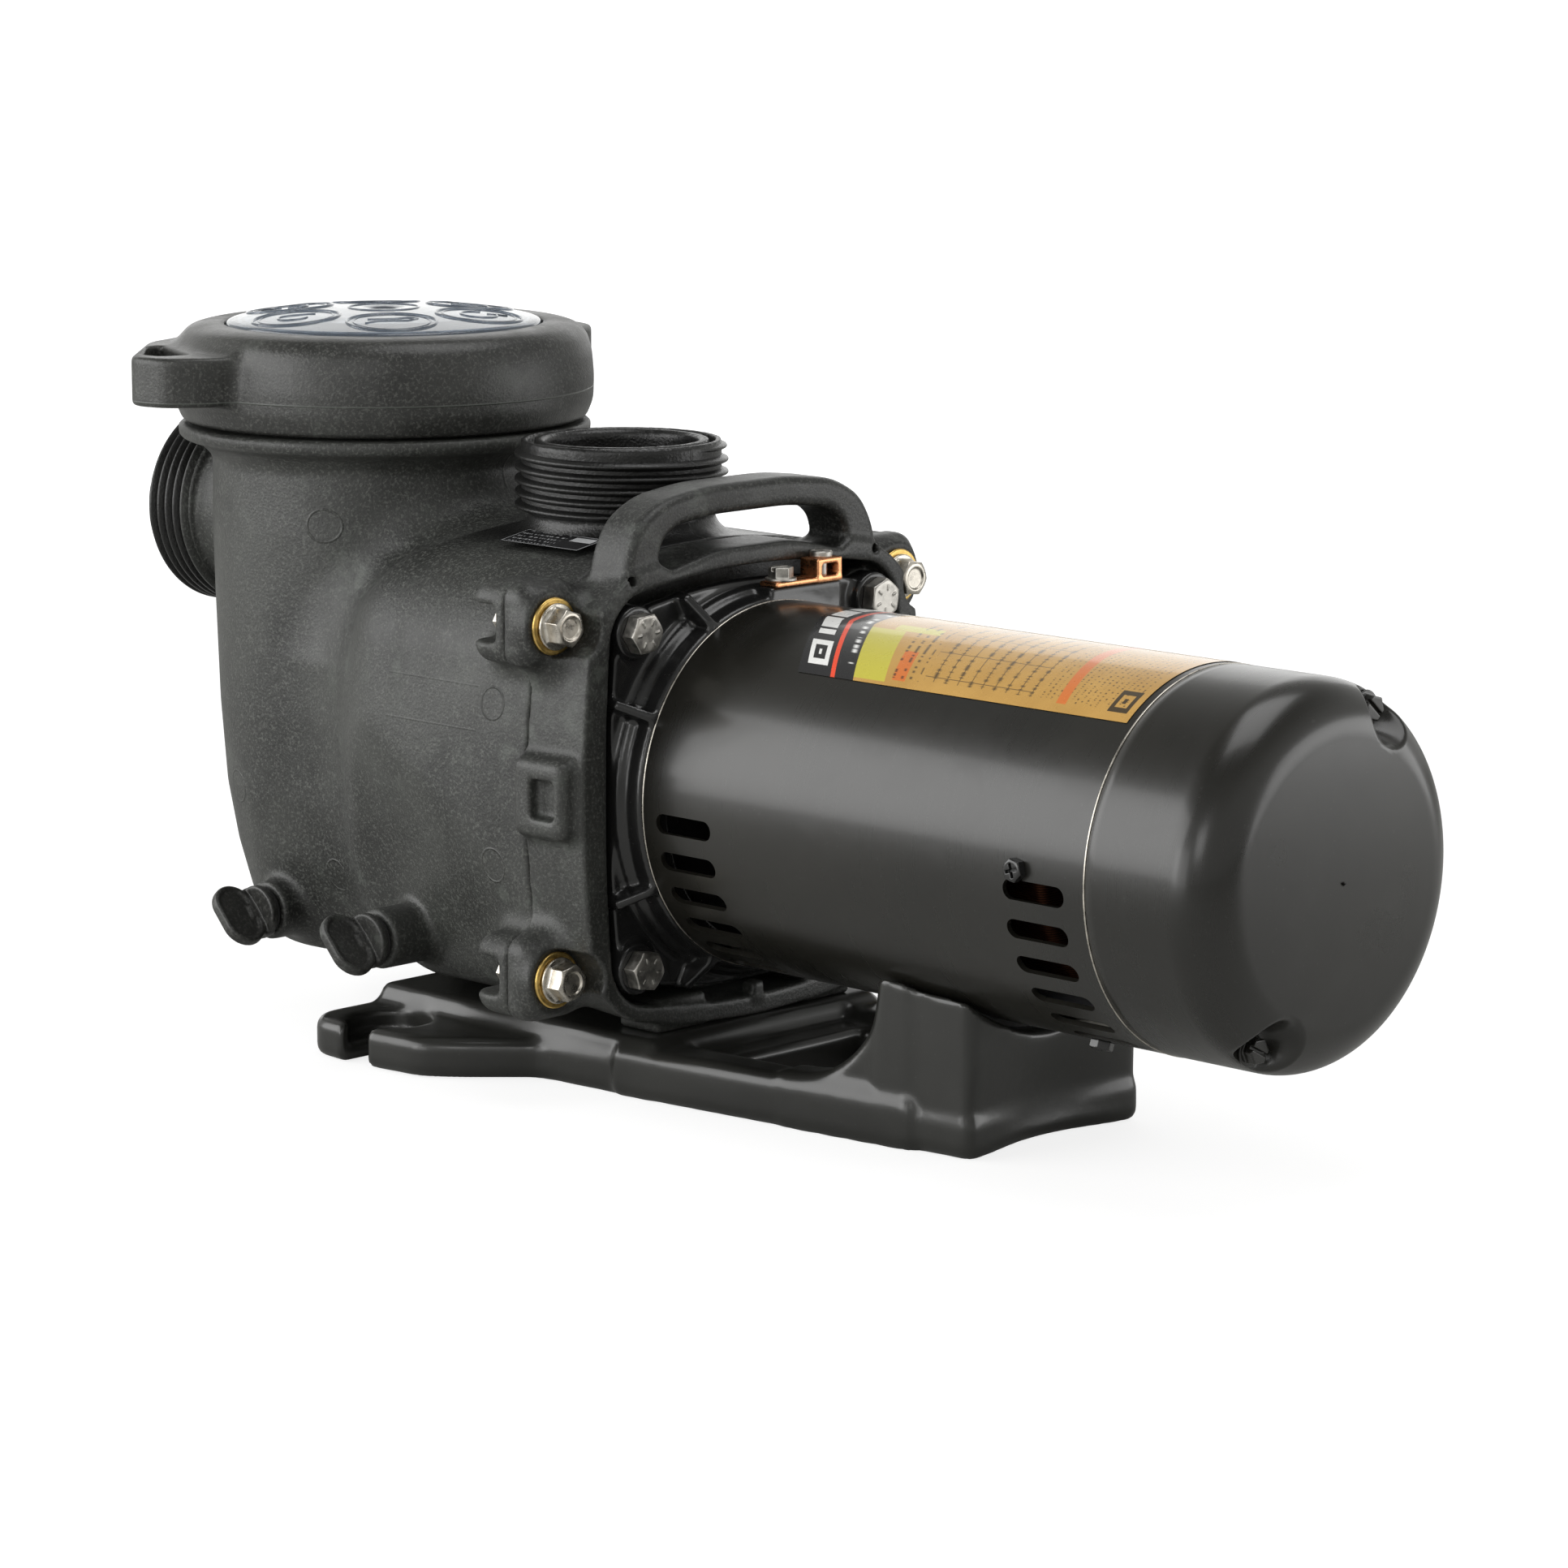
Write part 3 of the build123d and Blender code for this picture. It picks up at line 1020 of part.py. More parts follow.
def main():
    os.makedirs("parts", exist_ok=True)
    pieces = {
        "pump_body": pump_body(),
        "strainer_basket": strainer_basket(),
        "basket_handle": basket_handle(),
        "lid_window": lid_window(),
        "lid_o_ring": lid_o_ring(),
        "lid_lock_ring": lid_lock_ring(),
        "diffuser": diffuser(),
        "diffuser_o_ring": diffuser_o_ring(),
        "wear_ring": wear_ring(),
        "impeller": impeller(),
        "impeller_screw": impeller_screw(),
        "seal_seat": seal_seat(),
        "seal_seat_cup": seal_seat_cup(),
        "seal_head": seal_head(),
        "seal_spring": seal_spring(),
        "housing_o_ring": housing_o_ring(),
        "motor_bracket": motor_bracket(),
        "housing_bolts": housing_bolts(),
        "housing_washers": housing_washers(),
        "captive_nuts": captive_nuts(),
        "flange_bolts": flange_bolts(),
        "end_bell": end_bell(),
        "motor_shell": motor_shell(),
        "shell_screws": shell_screws(),
        "stator_core": stator_core(),
        "stator_windings": stator_windings(),
        "rotor_core": rotor_core(),
        "motor_shaft": motor_shaft(),
        "front_bearing_outer": bearing_outer(front_bearing_x),
        "front_bearing_inner": bearing_inner(front_bearing_x),
        "rear_bearing_outer": bearing_outer(rear_bearing_x),
        "rear_bearing_inner": bearing_inner(rear_bearing_x),
        "wave_washer": wave_washer(),
        "shaft_slinger": shaft_slinger(),
        "cooling_fan": cooling_fan(),
        "rear_bell": rear_bell(),
        "through_bolts": through_bolts(),
        "governor": governor(),
        "switch_board": switch_board(),
        "start_capacitor": start_capacitor(),
        "canopy": canopy(),
        "canopy_screws": canopy_screws(),
        "ground_lug": ground_lug(),
        "ground_lug_screws": ground_lug_screws(),
        "motor_label": motor_label(),
        "pump_label": pump_label(),
        "base": base(),
        "base_bolts": base_bolts(),
        "motor_pad": motor_pad(),
        "drain_plug_pot": drain_plug(drain_pot_place),
        "drain_o_ring_pot": drain_o_ring(drain_pot_place),
        "drain_plug_volute": drain_plug(drain_volute_place),
        "drain_o_ring_volute": drain_o_ring(drain_volute_place),
    }
    for node, shape in pieces.items():
        save(node, shape)


main()
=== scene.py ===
import json
import math

import bmesh
import bpy
import numpy as np
from mathutils import Matrix, Vector

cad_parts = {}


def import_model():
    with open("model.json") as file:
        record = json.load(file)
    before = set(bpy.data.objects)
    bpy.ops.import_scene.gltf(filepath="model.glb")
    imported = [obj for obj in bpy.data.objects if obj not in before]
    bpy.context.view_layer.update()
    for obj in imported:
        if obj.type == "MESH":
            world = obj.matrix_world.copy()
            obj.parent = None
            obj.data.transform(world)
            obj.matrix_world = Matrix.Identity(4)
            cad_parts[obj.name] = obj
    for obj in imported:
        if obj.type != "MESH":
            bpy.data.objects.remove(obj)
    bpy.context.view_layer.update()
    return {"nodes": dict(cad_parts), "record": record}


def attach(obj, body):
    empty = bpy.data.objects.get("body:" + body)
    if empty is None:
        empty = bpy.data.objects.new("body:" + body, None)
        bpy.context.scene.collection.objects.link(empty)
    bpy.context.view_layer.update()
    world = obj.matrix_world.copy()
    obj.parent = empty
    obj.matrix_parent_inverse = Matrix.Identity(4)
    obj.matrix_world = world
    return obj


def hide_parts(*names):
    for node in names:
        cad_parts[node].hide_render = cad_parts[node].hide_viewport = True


MM = 0.001

# ---- stations in millimetres, the CAD frame ------------------------------------------------------
SHAFT_Z = 116.6
SHELL_X = 130.6
SHELL_LENGTH = 222.4
SHELL_RADIUS = 71.6
CANOPY_END_X = 410.6
POT_X = -95.7
PORT_X = 45.1
PORT_RIM_Z = 244.2
SUCTION_X = -203.2
SUCTION_Z = 197.9
PARTING_X = 92.6
RIM_X = 121.6
BOSS_X = 105.6
MOUNT_X = 112.6
BOLT_Y = 94.3
BOLT_Z = (185.7, 49.6)
MOTOR_BOLT = 65.1
PAD_TOP = 76.3
POT_DRAIN = (-95.7, -68.0, 43.5)
VOLUTE_DRAIN = (3.2, -95.0, 50.2)


# ---- solid fields: a negative number is inside, millimetres from the surface ---------------------
def join(a, b, radius=0.0):
    """Union with a round fillet."""
    if np.max(radius) <= 0:
        return np.minimum(a, b)
    corner = np.hypot(np.maximum(radius - a, 0), np.maximum(radius - b, 0))
    return np.maximum(radius, np.minimum(a, b)) - corner


def meet(a, b, radius=0.0):
    """What both solids share, its new edge rounded."""
    if np.max(radius) <= 0:
        return np.maximum(a, b)
    corner = np.hypot(np.maximum(radius + a, 0), np.maximum(radius + b, 0))
    return np.minimum(-radius, np.maximum(a, b)) + corner


def cut(a, b, radius=0.0):
    """a with b taken out of it, its new edge rounded."""
    return meet(a, -b, radius)


def slab(outline, along, low, high, radius=0.0):
    """A section field drawn out between two stations."""
    middle, half = (low + high) / 2, (high - low) / 2
    return meet(outline, np.abs(along - middle) - half, radius)


def block(x, y, z, low, high, radius=0.0):
    """A box between two corners, its edges rounded."""
    parts = []
    for axis, a, b in zip((x, y, z), low, high):
        parts.append(np.abs(axis - (a + b) / 2) - (b - a) / 2 + radius)
    outside = np.sqrt(sum(np.maximum(p, 0) ** 2 for p in parts))
    inside = np.minimum(np.maximum(np.maximum(parts[0], parts[1]), parts[2]), 0)
    return outside + inside - radius


def outline_field(u, v, corners):
    """Signed distance to a closed outline in the plane of u and v."""
    u, v = np.broadcast_arrays(u, v)
    nearest = np.full(u.shape, 1e9, np.float32)
    sign = np.ones(u.shape, np.float32)
    count = len(corners)
    for k in range(count):
        (ax, ay), (bx, by) = corners[k - 1], corners[k]
        ex, ey = bx - ax, by - ay
        wx, wy = u - ax, v - ay
        t = np.clip((wx * ex + wy * ey) / (ex * ex + ey * ey), 0, 1)
        nearest = np.minimum(nearest, (wx - ex * t) ** 2 + (wy - ey * t) ** 2)
        above, below = v >= ay, v < by
        left = ex * wy > ey * wx
        flips = (above & below & left) | (~above & ~below & ~left)
        sign = np.where(flips, -sign, sign)
    return sign * np.sqrt(nearest)


def bowed_square(y, z, side_y, side_z, corner_y, corner_z, radius):
    """Square section with outward-bowed sides and round corners, centred on y = z = 0."""
    radius_z = (corner_y**2 + (side_z - corner_z) ** 2) / (2 * (side_z - corner_z))
    radius_y = (corner_z**2 + (side_y - corner_y) ** 2) / (2 * (side_y - corner_y))
    top = np.hypot(y, np.abs(z) + radius_z - side_z) - radius_z
    side = np.hypot(np.abs(y) + radius_y - side_y, z) - radius_y
    return meet(top, side, radius)


def table_of(profile, across, along, step=0.4):
    """Field of a turned section read from a fine table: across is the distance from the axis."""
    line = along.ravel()
    radii = np.arange(0, float(across.max()) + 2 * step, step, dtype=np.float32)
    return outline_field(radii[:, None], line[None, :], profile).astype(np.float32)


def turned_upright(across, z, profile, step=0.4):
    """Turned about an upright axis: across is (x, y, 1), profile is (radius, z) corners."""
    table = table_of(profile, across, z, step)
    row = across[:, :, 0] / step
    low = row.astype(int)
    share = (row - low)[:, :, None]
    return table[low] * (1 - share) + table[low + 1] * share


def turned_on_shaft(across, x, profile, step=0.4):
    """Turned about the shaft: across is (1, y, z), profile is (radius, x) corners."""
    table = table_of(profile, across, x, step).T
    row = across[0] / step
    low = row.astype(int)
    share = (row - low)[None]
    return table[:, low] * (1 - share) + table[:, low + 1] * share


def round_corners(corners, radius, steps=4):
    """Closed outline with each corner replaced by a small arc."""
    result = []
    count = len(corners)
    for k in range(count):
        before, here, after = (np.array(corners[(k + d) % count], float) for d in (-1, 0, 1))
        a, b = before - here, after - here
        reach = min(radius, 0.45 * np.linalg.norm(a), 0.45 * np.linalg.norm(b))
        a, b = a / np.linalg.norm(a), b / np.linalg.norm(b)
        for i in range(steps + 1):
            t = i / steps
            point = (1 - t) ** 2 * (here + a * reach) + 2 * t * (1 - t) * here + t**2 * (here + b * reach)
            result.append(tuple(point))
    return result


# ---- field to mesh -------------------------------------------------------------------------------
def skin(field, axes):
    """Vertices and quads of the surface where the field is zero."""
    shape = np.array(field.shape) - 1
    strides = np.array([shape[1] * shape[2], shape[2], 1])
    inside = field < 0
    marks, points, quads = [], [], []
    for axis in range(3):
        low, high = [slice(None)] * 3, [slice(None)] * 3
        low[axis], high[axis] = slice(None, -1), slice(1, None)
        where = np.argwhere(inside[tuple(low)] != inside[tuple(high)])
        i, j, k = where.T
        step = np.eye(3, dtype=int)[axis]
        f0 = field[i, j, k]
        f1 = field[i + step[0], j + step[1], k + step[2]]
        point = np.stack([axes[a][where[:, a]] for a in range(3)], 1)
        point[:, axis] += f0 / (f0 - f1) * (axes[axis][1] - axes[axis][0])
        first, second = (axis + 1) % 3, (axis + 2) % 3
        around, valid = [], np.ones(len(where), bool)
        for back_first, back_second in ((1, 1), (0, 1), (0, 0), (1, 0)):
            cell = where.copy()
            cell[:, first] -= back_first
            cell[:, second] -= back_second
            valid &= ((cell >= 0) & (cell < shape)).all(1)
            around.append(cell @ strides)
        around = np.stack(around, 1)[valid]
        leaving = f0[valid] < 0
        around[~leaving] = around[~leaving][:, ::-1]
        quads.append(around)
        marks.append(around.ravel())
        points.append(np.repeat(point[valid], 4, axis=0))
    marks, quads = np.concatenate(marks), np.concatenate(quads)
    points = np.concatenate(points)
    used, index = np.unique(marks, return_inverse=True)
    hits = np.bincount(index)
    vertices = np.stack([np.bincount(index, points[:, a]) / hits for a in range(3)], 1)
    return vertices, np.searchsorted(used, quads)


def sample(grid, place, axes):
    """Trilinear reading of a grid at many points."""
    base, share = [], []
    for a in range(3):
        t = (place[:, a] - axes[a][0]) / (axes[a][1] - axes[a][0])
        t = np.clip(t, 0, len(axes[a]) - 1.001)
        base.append(t.astype(int))
        share.append(t - base[-1])
    value = 0
    for corner in range(8):
        step = [(corner >> a) & 1 for a in range(3)]
        weight = 1
        for a in range(3):
            weight = weight * (share[a] if step[a] else 1 - share[a])
        value = value + weight * grid[tuple(base[a] + step[a] for a in range(3))]
    return value


SMOOTHINGS = 4
PULLS = 2


def settle(vertices, quads, field, axes):
    """Evens out the mesh and draws it back to the true surface. Gives its normals too."""
    spacing = axes[0][1] - axes[0][0]
    pairs = np.concatenate([quads[:, [a, (a + 1) % 4]] for a in range(4)])
    pairs = np.concatenate([pairs, pairs[:, ::-1]])
    count = np.bincount(pairs[:, 0], minlength=len(vertices))
    slope = [np.gradient(field, spacing, axis=a) for a in range(3)]
    for _ in range(SMOOTHINGS):
        mean = np.stack([np.bincount(pairs[:, 0], vertices[pairs[:, 1], a]) / count for a in range(3)], 1)
        vertices = 0.5 * (vertices + mean)
        for _ in range(PULLS):
            value = sample(field, vertices, axes)
            normal = np.stack([sample(s, vertices, axes) for s in slope], 1)
            size = np.maximum((normal**2).sum(1), 0.25)
            shift = np.clip(value / size, -spacing / 2, spacing / 2)
            vertices = vertices - normal * shift[:, None]
    normal /= np.maximum(np.linalg.norm(normal, axis=1), 1e-6)[:, None]
    return vertices, normal


def adopt(piece, body, replaces=()):
    """Says which body a piece rides on, and the CAD nodes that it stands for."""
    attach(piece, body)
    if replaces:
        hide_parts(*replaces)
    return piece


def mesh_piece(name, vertices, faces, body, slot, finishes, normals=None, replaces=()):
    """A finished piece from millimetre vertices, riding on a CAD body."""
    mesh = bpy.data.meshes.new(name)
    faces = faces.tolist() if isinstance(faces, np.ndarray) else faces
    mesh.from_pydata((np.asarray(vertices, float) * MM).tolist(), [], faces)
    mesh.materials.append(finishes[slot])
    mesh.shade_smooth()
    if normals is not None:
        mesh.normals_split_custom_set_from_vertices(np.asarray(normals, float).tolist())
    piece = bpy.data.objects.new(name, mesh)
    bpy.context.scene.collection.objects.link(piece)
    return adopt(piece, body, replaces)


def field_mesh(field_of, low, high, step):
    """Vertices, quads and normals of a field's surface between two corners."""
    axes = [np.arange(a, b + step, step, dtype=np.float32) for a, b in zip(low, high)]
    x, y, z = axes[0][:, None, None], axes[1][None, :, None], axes[2][None, None, :]
    field = np.array(np.broadcast_to(field_of(x, y, z), [a.size for a in axes]), np.float32)
    vertices, quads = skin(field, axes)
    vertices, normals = settle(vertices, quads, field, axes)
    return vertices, quads, normals


def field_piece(name, field_of, low, high, step, body, slot, finishes, replaces=(), parting=()):
    """A moulded piece. Stations along X in parting share a dense one among several meshes."""
    vertices, quads, normals = field_mesh(field_of, low, high, step)
    middle = vertices[quads, 0].mean(1)
    stations = [-1e9, *parting, 1e9]
    for k in range(len(stations) - 1):
        faces = quads[(middle >= stations[k]) & (middle < stations[k + 1])]
        used, faces = np.unique(faces, return_inverse=True)
        label = name if not parting else f"{name}_{k + 1}"
        faces = faces.reshape(-1, 4)
        mesh_piece(label, vertices[used], faces, body, slot, finishes, normals[used], replaces)


def lathe(profile, steps, centre, axis="z"):
    """Vertices and faces of closed (radius, station) corners turned about an axis."""
    turn = np.arange(steps) * 2 * math.pi / steps
    radius, station = np.array(profile, float).T
    across = np.outer(np.cos(turn), radius)
    up = np.outer(np.sin(turn), radius)
    along = np.broadcast_to(station, across.shape)
    order = (across, up, along) if axis == "z" else (along, across, up)
    vertices = np.stack(order, 2).reshape(-1, 3) + np.array(centre)
    rows = len(profile)
    k, i = np.meshgrid(np.arange(steps), np.arange(rows), indexing="ij")
    following, over = (k + 1) % steps, (i + 1) % rows
    faces = np.stack([k * rows + i, following * rows + i, following * rows + over, k * rows + over], 2)
    return vertices, faces.reshape(-1, 4)


# ---- material language ---------------------------------------------------------------------------
class Signal:
    """A shader socket that can be used in arithmetic."""

    def __init__(self, finish, socket):
        self.finish = finish
        self.socket = socket

    def math(self, operation, *values):
        node = self.finish.node("ShaderNodeMath", {"operation": operation}, dict(enumerate(values)))
        return node.out(0)

    def __add__(self, other):
        return self.math("ADD", self, other)

    def __radd__(self, other):
        return self.math("ADD", other, self)

    def __sub__(self, other):
        return self.math("SUBTRACT", self, other)

    def __rsub__(self, other):
        return self.math("SUBTRACT", other, self)

    def __mul__(self, other):
        return self.math("MULTIPLY", self, other)

    def __rmul__(self, other):
        return self.math("MULTIPLY", other, self)

    def __truediv__(self, other):
        return self.math("DIVIDE", self, other)

    def __abs__(self):
        return self.math("ABSOLUTE", self)

    def least(self, other):
        return self.math("MINIMUM", self, other)

    def most(self, other):
        return self.math("MAXIMUM", self, other)

    def repeat(self, size):
        """Distance from the middle of the nearest of equal steps."""
        return abs(self.math("FRACT", self / size) - 0.5) * size

    def ramp(self, low, high, start=0.0, end=1.0):
        """Smooth step from start to end as the signal goes from low to high."""
        values = {0: self, 1: low, 2: high, 3: start, 4: end}
        settings = {"interpolation_type": "SMOOTHSTEP"}
        return self.finish.node("ShaderNodeMapRange", settings, values).out(0)


class Node:
    """A shader node with its outputs as signals."""

    def __init__(self, finish, node):
        self.finish = finish
        self.node = node

    def out(self, name):
        return Signal(self.finish, self.node.outputs[name])


class Finish:
    """One procedural material, in object coordinates in metres."""

    def __init__(self, name):
        self.material = bpy.data.materials.new(name)
        self.material.use_nodes = True
        self.tree = self.material.node_tree
        self.tree.nodes.clear()
        self.place = self.node("ShaderNodeTexCoord").out("Object")

    def node(self, kind, settings=None, values=None):
        node = self.tree.nodes.new(kind)
        for key, value in (settings or {}).items():
            setattr(node, key, value)
        for key, value in (values or {}).items():
            if isinstance(value, Signal):
                self.tree.links.new(value.socket, node.inputs[key])
            else:
                node.inputs[key].default_value = value
        return Node(self, node)

    def axes(self):
        split = self.node("ShaderNodeSeparateXYZ", None, {0: self.place})
        return split.out("X"), split.out("Y"), split.out("Z")

    def stretched(self, x, y, z):
        mapping = {"Vector": self.place, "Scale": (x, y, z)}
        return self.node("ShaderNodeMapping", None, mapping).out(0)

    def noise(self, scale, detail=2.0, roughness=0.5, place=None, distortion=0.0):
        values = {"Vector": place or self.place, "Scale": scale, "Detail": detail,
                  "Roughness": roughness, "Distortion": distortion}
        return self.node("ShaderNodeTexNoise", None, values).out(0)

    def cells(self, scale):
        values = {"Vector": self.place, "Scale": scale}
        return self.node("ShaderNodeTexVoronoi", {"feature": "F1"}, values).out("Distance")

    def mix(self, first, second, factor):
        """Colour between two others."""
        values = {0: factor}
        for index, colour in ((6, first), (7, second)):
            values[index] = colour if isinstance(colour, Signal) else (*colour, 1.0)
        return self.node("ShaderNodeMix", {"data_type": "RGBA"}, values).out(2)

    def bump(self, height, depth, strength=1.0, normal=None):
        values = {"Height": height, "Distance": depth, "Strength": strength}
        if normal:
            values["Normal"] = normal
        return self.node("ShaderNodeBump", None, values).out(0)

    def surface(self, **values):
        """Ends the material in a Principled surface."""
        named = {key.replace("_", " "): value for key, value in values.items()}
        for key, value in named.items():
            if isinstance(value, tuple):
                named[key] = (*value, 1.0)
        shader = self.node("ShaderNodeBsdfPrincipled", None, named)
        output = self.node("ShaderNodeOutputMaterial")
        self.tree.links.new(shader.node.outputs[0], output.node.inputs[0])
        return self.material


def distance(u, v, place):
    """Distance in the plane of u and v from a place, in metres."""
    a, b = u - place[0], v - place[1]
    return (a * a + b * b).math("SQRT", a * a + b * b)


def circle_line(u, v, place, radius, width):
    """1 on a thin circle drawn about a place in the plane of u and v, all in metres."""
    return abs(distance(u, v, place) - radius).ramp(0.0, width, 1.0, 0.0)


def frame_line(u, v, low, high, width):
    """1 on the outline of a rectangle."""
    a = abs(u - (low[0] + high[0]) / 2) - (high[0] - low[0]) / 2
    b = abs(v - (low[1] + high[1]) / 2) - (high[1] - low[1]) / 2
    return abs(a.most(b)).ramp(0.0, width, 1.0, 0.0)


def grained_plastic(name, tone, roughness, grain=1.0, marks=False, ring_line=False):
    """Glass-filled black moulding: fine grain, cloudy flow patches, faint handling marks."""
    f = Finish(name)
    x, y, z = f.axes()
    cloud = f.noise(14.0, 5.0, 0.6, distortion=0.6)
    flow = f.noise(9.0, 4.0, 0.65, place=f.stretched(1.0, 1.0, 0.35), distortion=1.2)
    speck = f.noise(760.0, 2.0, 0.75)
    chalk = f.noise(60.0, 7.0, 0.72).ramp(0.50, 0.68)
    base = f.mix(tuple(c * 0.7 for c in tone), tuple(c * 1.9 for c in tone), cloud.ramp(0.35, 0.70))
    base = f.mix(base, CHALK, chalk * flow.ramp(0.40, 0.62) * 0.75)
    base = f.mix(base, tuple(c * 6.0 for c in tone), speck.ramp(0.48, 0.70) * 0.6)
    base = f.mix(base, CHALK_FLECK, f.cells(420.0).ramp(0.0, 0.16, 1.0, 0.0) * chalk * 0.8)
    rub = f.noise(240.0, 3.0, 0.6, place=f.stretched(0.25, 1.0, 1.0)).ramp(0.6, 0.75)
    rough = roughness + 0.18 * flow.ramp(0.3, 0.75) + 0.30 * (speck - 0.5) - 0.06 * rub
    height = f.noise(1100.0, 2.0, 0.6) + 0.6 * f.cells(820.0)
    normal = f.bump(height, 0.00020 * grain, 0.6)
    normal = f.bump(f.noise(38.0, 3.0, 0.5), 0.0008, 0.3, normal)
    if marks:
        lines = moulding_marks(x, y, z)
        normal = f.bump(lines, 0.00035, 0.8, normal)
        # Each port and its thread: a darker colour that is painted shade, and a glossier finish.
        port_shade = (z.ramp(0.203, 0.207) * x.ramp(0.0, 0.002)).most(x.ramp(-0.180, -0.176, 1.0, 0.0))
        base = f.mix(base, PORT_SHADE, port_shade)
        rough = rough - 0.14 * port_shade
    if ring_line:
        seam = abs(z - RING_SEAM_Z).ramp(0.0, 0.0005, 1.0, 0.0)
        base = f.mix(base, CHALK, seam * 0.8)
        normal = f.bump(seam, 0.0002, 0.8, normal)
    return f.surface(Base_Color=base, Roughness=rough, Specular_IOR_Level=0.5, Normal=normal)


def moulding_marks(x, y, z):
    """Ejector circles, a faint insert outline and the parting line of the housing."""
    flank = (0.0 - y).ramp(0.045, 0.055) + y.ramp(0.045, 0.055)
    pins = circle_line(x, z, SMALL_PIN, 0.0062, 0.0007)
    for place in LARGE_PINS:
        pins = pins.most(circle_line(x, z, place, 0.0066, 0.0007))
    insert = frame_line(x, z, (0.012, 0.141), (0.064, 0.158), 0.0006) * 0.25
    seam = abs(y).ramp(0.0002, 0.0008, 1.0, 0.0)
    return (pins.most(insert) * flank).most(seam * 0.5)


def gloss_paint(name, tone, roughness, peel=1.0, streaks=0.0):
    """Sprayed enamel over rolled steel: soft orange peel, dust and a few rubs."""
    f = Finish(name)
    cloud = f.noise(10.0, 4.0, 0.55)
    dust = f.noise(650.0, 1.0, 0.5).ramp(0.70, 0.80)
    base = f.mix(tone, tuple(c * 1.7 for c in tone), cloud.ramp(0.35, 0.7))
    base = f.mix(base, (0.05, 0.05, 0.047), dust * 0.25)
    rub = f.noise(30.0, 5.0, 0.65, distortion=0.8).ramp(0.5, 0.72)
    rough = roughness + 0.05 * rub + 0.04 * dust + 0.02 * cloud
    if streaks:
        brushed = f.noise(700.0, 3.0, 0.6, place=f.stretched(1.0, 0.02, 0.02))
        rough = rough + streaks * (brushed - 0.5)
    normal = f.bump(f.noise(260.0, 2.0, 0.5), 0.00006 * peel, 0.5)
    normal = f.bump(f.noise(42.0, 2.0, 0.4), 0.00025 * peel, 0.35, normal)
    return f.surface(Base_Color=base, Roughness=rough, Coat_Weight=0.2, Coat_Roughness=0.14,
                     Specular_IOR_Level=0.5, Normal=normal)


def plated(name, tone, roughness, brushed=0.1, dull=0.5):
    """Plated or stainless steel: fine brushing, cloudy plating and darker hollows."""
    f = Finish(name)
    patch = f.noise(210.0, 5.0, 0.65)
    fine = f.noise(2600.0, 2.0, 0.6)
    lines = f.noise(1500.0, 3.0, 0.6, place=f.stretched(0.08, 1.0, 1.0))
    dark = tuple(c * dull for c in tone)
    base = f.mix(dark, tone, patch.ramp(0.32, 0.62))
    rough = roughness + 0.16 * patch.ramp(0.4, 0.7) + brushed * (lines - 0.5)
    normal = f.bump(lines + 0.5 * fine, 0.00003, 0.5)
    normal = f.bump(patch, 0.00012, 0.4, normal)
    return f.surface(Base_Color=base, Metallic=1.0, Roughness=rough, Normal=normal)


def soft_rubber(name, tone, roughness=0.62):
    f = Finish(name)
    bloom = f.noise(70.0, 4.0, 0.6)
    base = f.mix(tone, tuple(c * 2.2 for c in tone), bloom.ramp(0.4, 0.75))
    normal = f.bump(f.noise(900.0, 2.0, 0.5), 0.00005, 0.5)
    return f.surface(Base_Color=base, Roughness=roughness + 0.12 * bloom, Normal=normal)


def moulded_colour(name, tone, roughness, grain=0.4):
    """Plain coloured moulding with a light texture."""
    f = Finish(name)
    cloud = f.noise(40.0, 4.0, 0.6)
    base = f.mix(tone, tuple(c * 0.72 for c in tone), cloud.ramp(0.35, 0.75))
    normal = f.bump(f.noise(1100.0, 2.0, 0.5), 0.00006 * grain, 0.6)
    return f.surface(Base_Color=base, Roughness=roughness + 0.1 * (cloud - 0.5), Normal=normal)


def clear_cover(name):
    """Bluish polycarbonate with a faint moulding ripple and fine scratches."""
    f = Finish(name)
    ripple = f.noise(24.0, 3.0, 0.5)
    scratch = f.noise(420.0, 4.0, 0.7, place=f.stretched(1.0, 0.15, 1.0))
    base = f.mix((0.30, 0.36, 0.44), (0.40, 0.46, 0.54), ripple)
    rough = 0.09 + 0.12 * scratch.ramp(0.50, 0.75) + 0.10 * f.noise(9.0, 4.0, 0.6).ramp(0.4, 0.7)
    normal = f.bump(ripple, 0.0004, 0.35)
    normal = f.bump(scratch, 0.00002, 0.3, normal)
    return f.surface(Base_Color=base, Roughness=rough, Transmission_Weight=0.86, IOR=1.58, Normal=normal)


def striped(name, tone, other, size, direction="X", roughness=0.5, metal=1.0):
    """Stacked sheets or wound wire, shown as fine lines."""
    f = Finish(name)
    x, y, z = f.axes()
    along = {"X": x, "Y": y, "Z": z}[direction]
    line = along.repeat(size).ramp(0.0, size * 0.5)
    base = f.mix(tone, other, line)
    base = f.mix(base, tone, f.noise(90.0, 4.0, 0.6).ramp(0.4, 0.8) * 0.5)
    normal = f.bump(line, 0.0002, 0.6)
    rough = roughness + 0.15 * f.noise(300.0, 2.0)
    return f.surface(Base_Color=base, Metallic=metal, Roughness=rough, Normal=normal)


BLACK = (0.0175, 0.0182, 0.0165)
# colour of the painted shade on each port and its thread
PORT_SHADE = (0.004, 0.004, 0.0037)
CHALK = (0.072, 0.080, 0.070)
CHALK_FLECK = (0.11, 0.12, 0.11)

# where the moulding marks are, in metres: (x, z) on the housing's flanks, z round the lock ring
SMALL_PIN = (0.0725, 0.1525)
LARGE_PINS = ((0.0725, 0.0895), (-0.062, 0.205), (-0.118, 0.092), (-0.06, 0.062))
RING_SEAM_Z = 0.2545


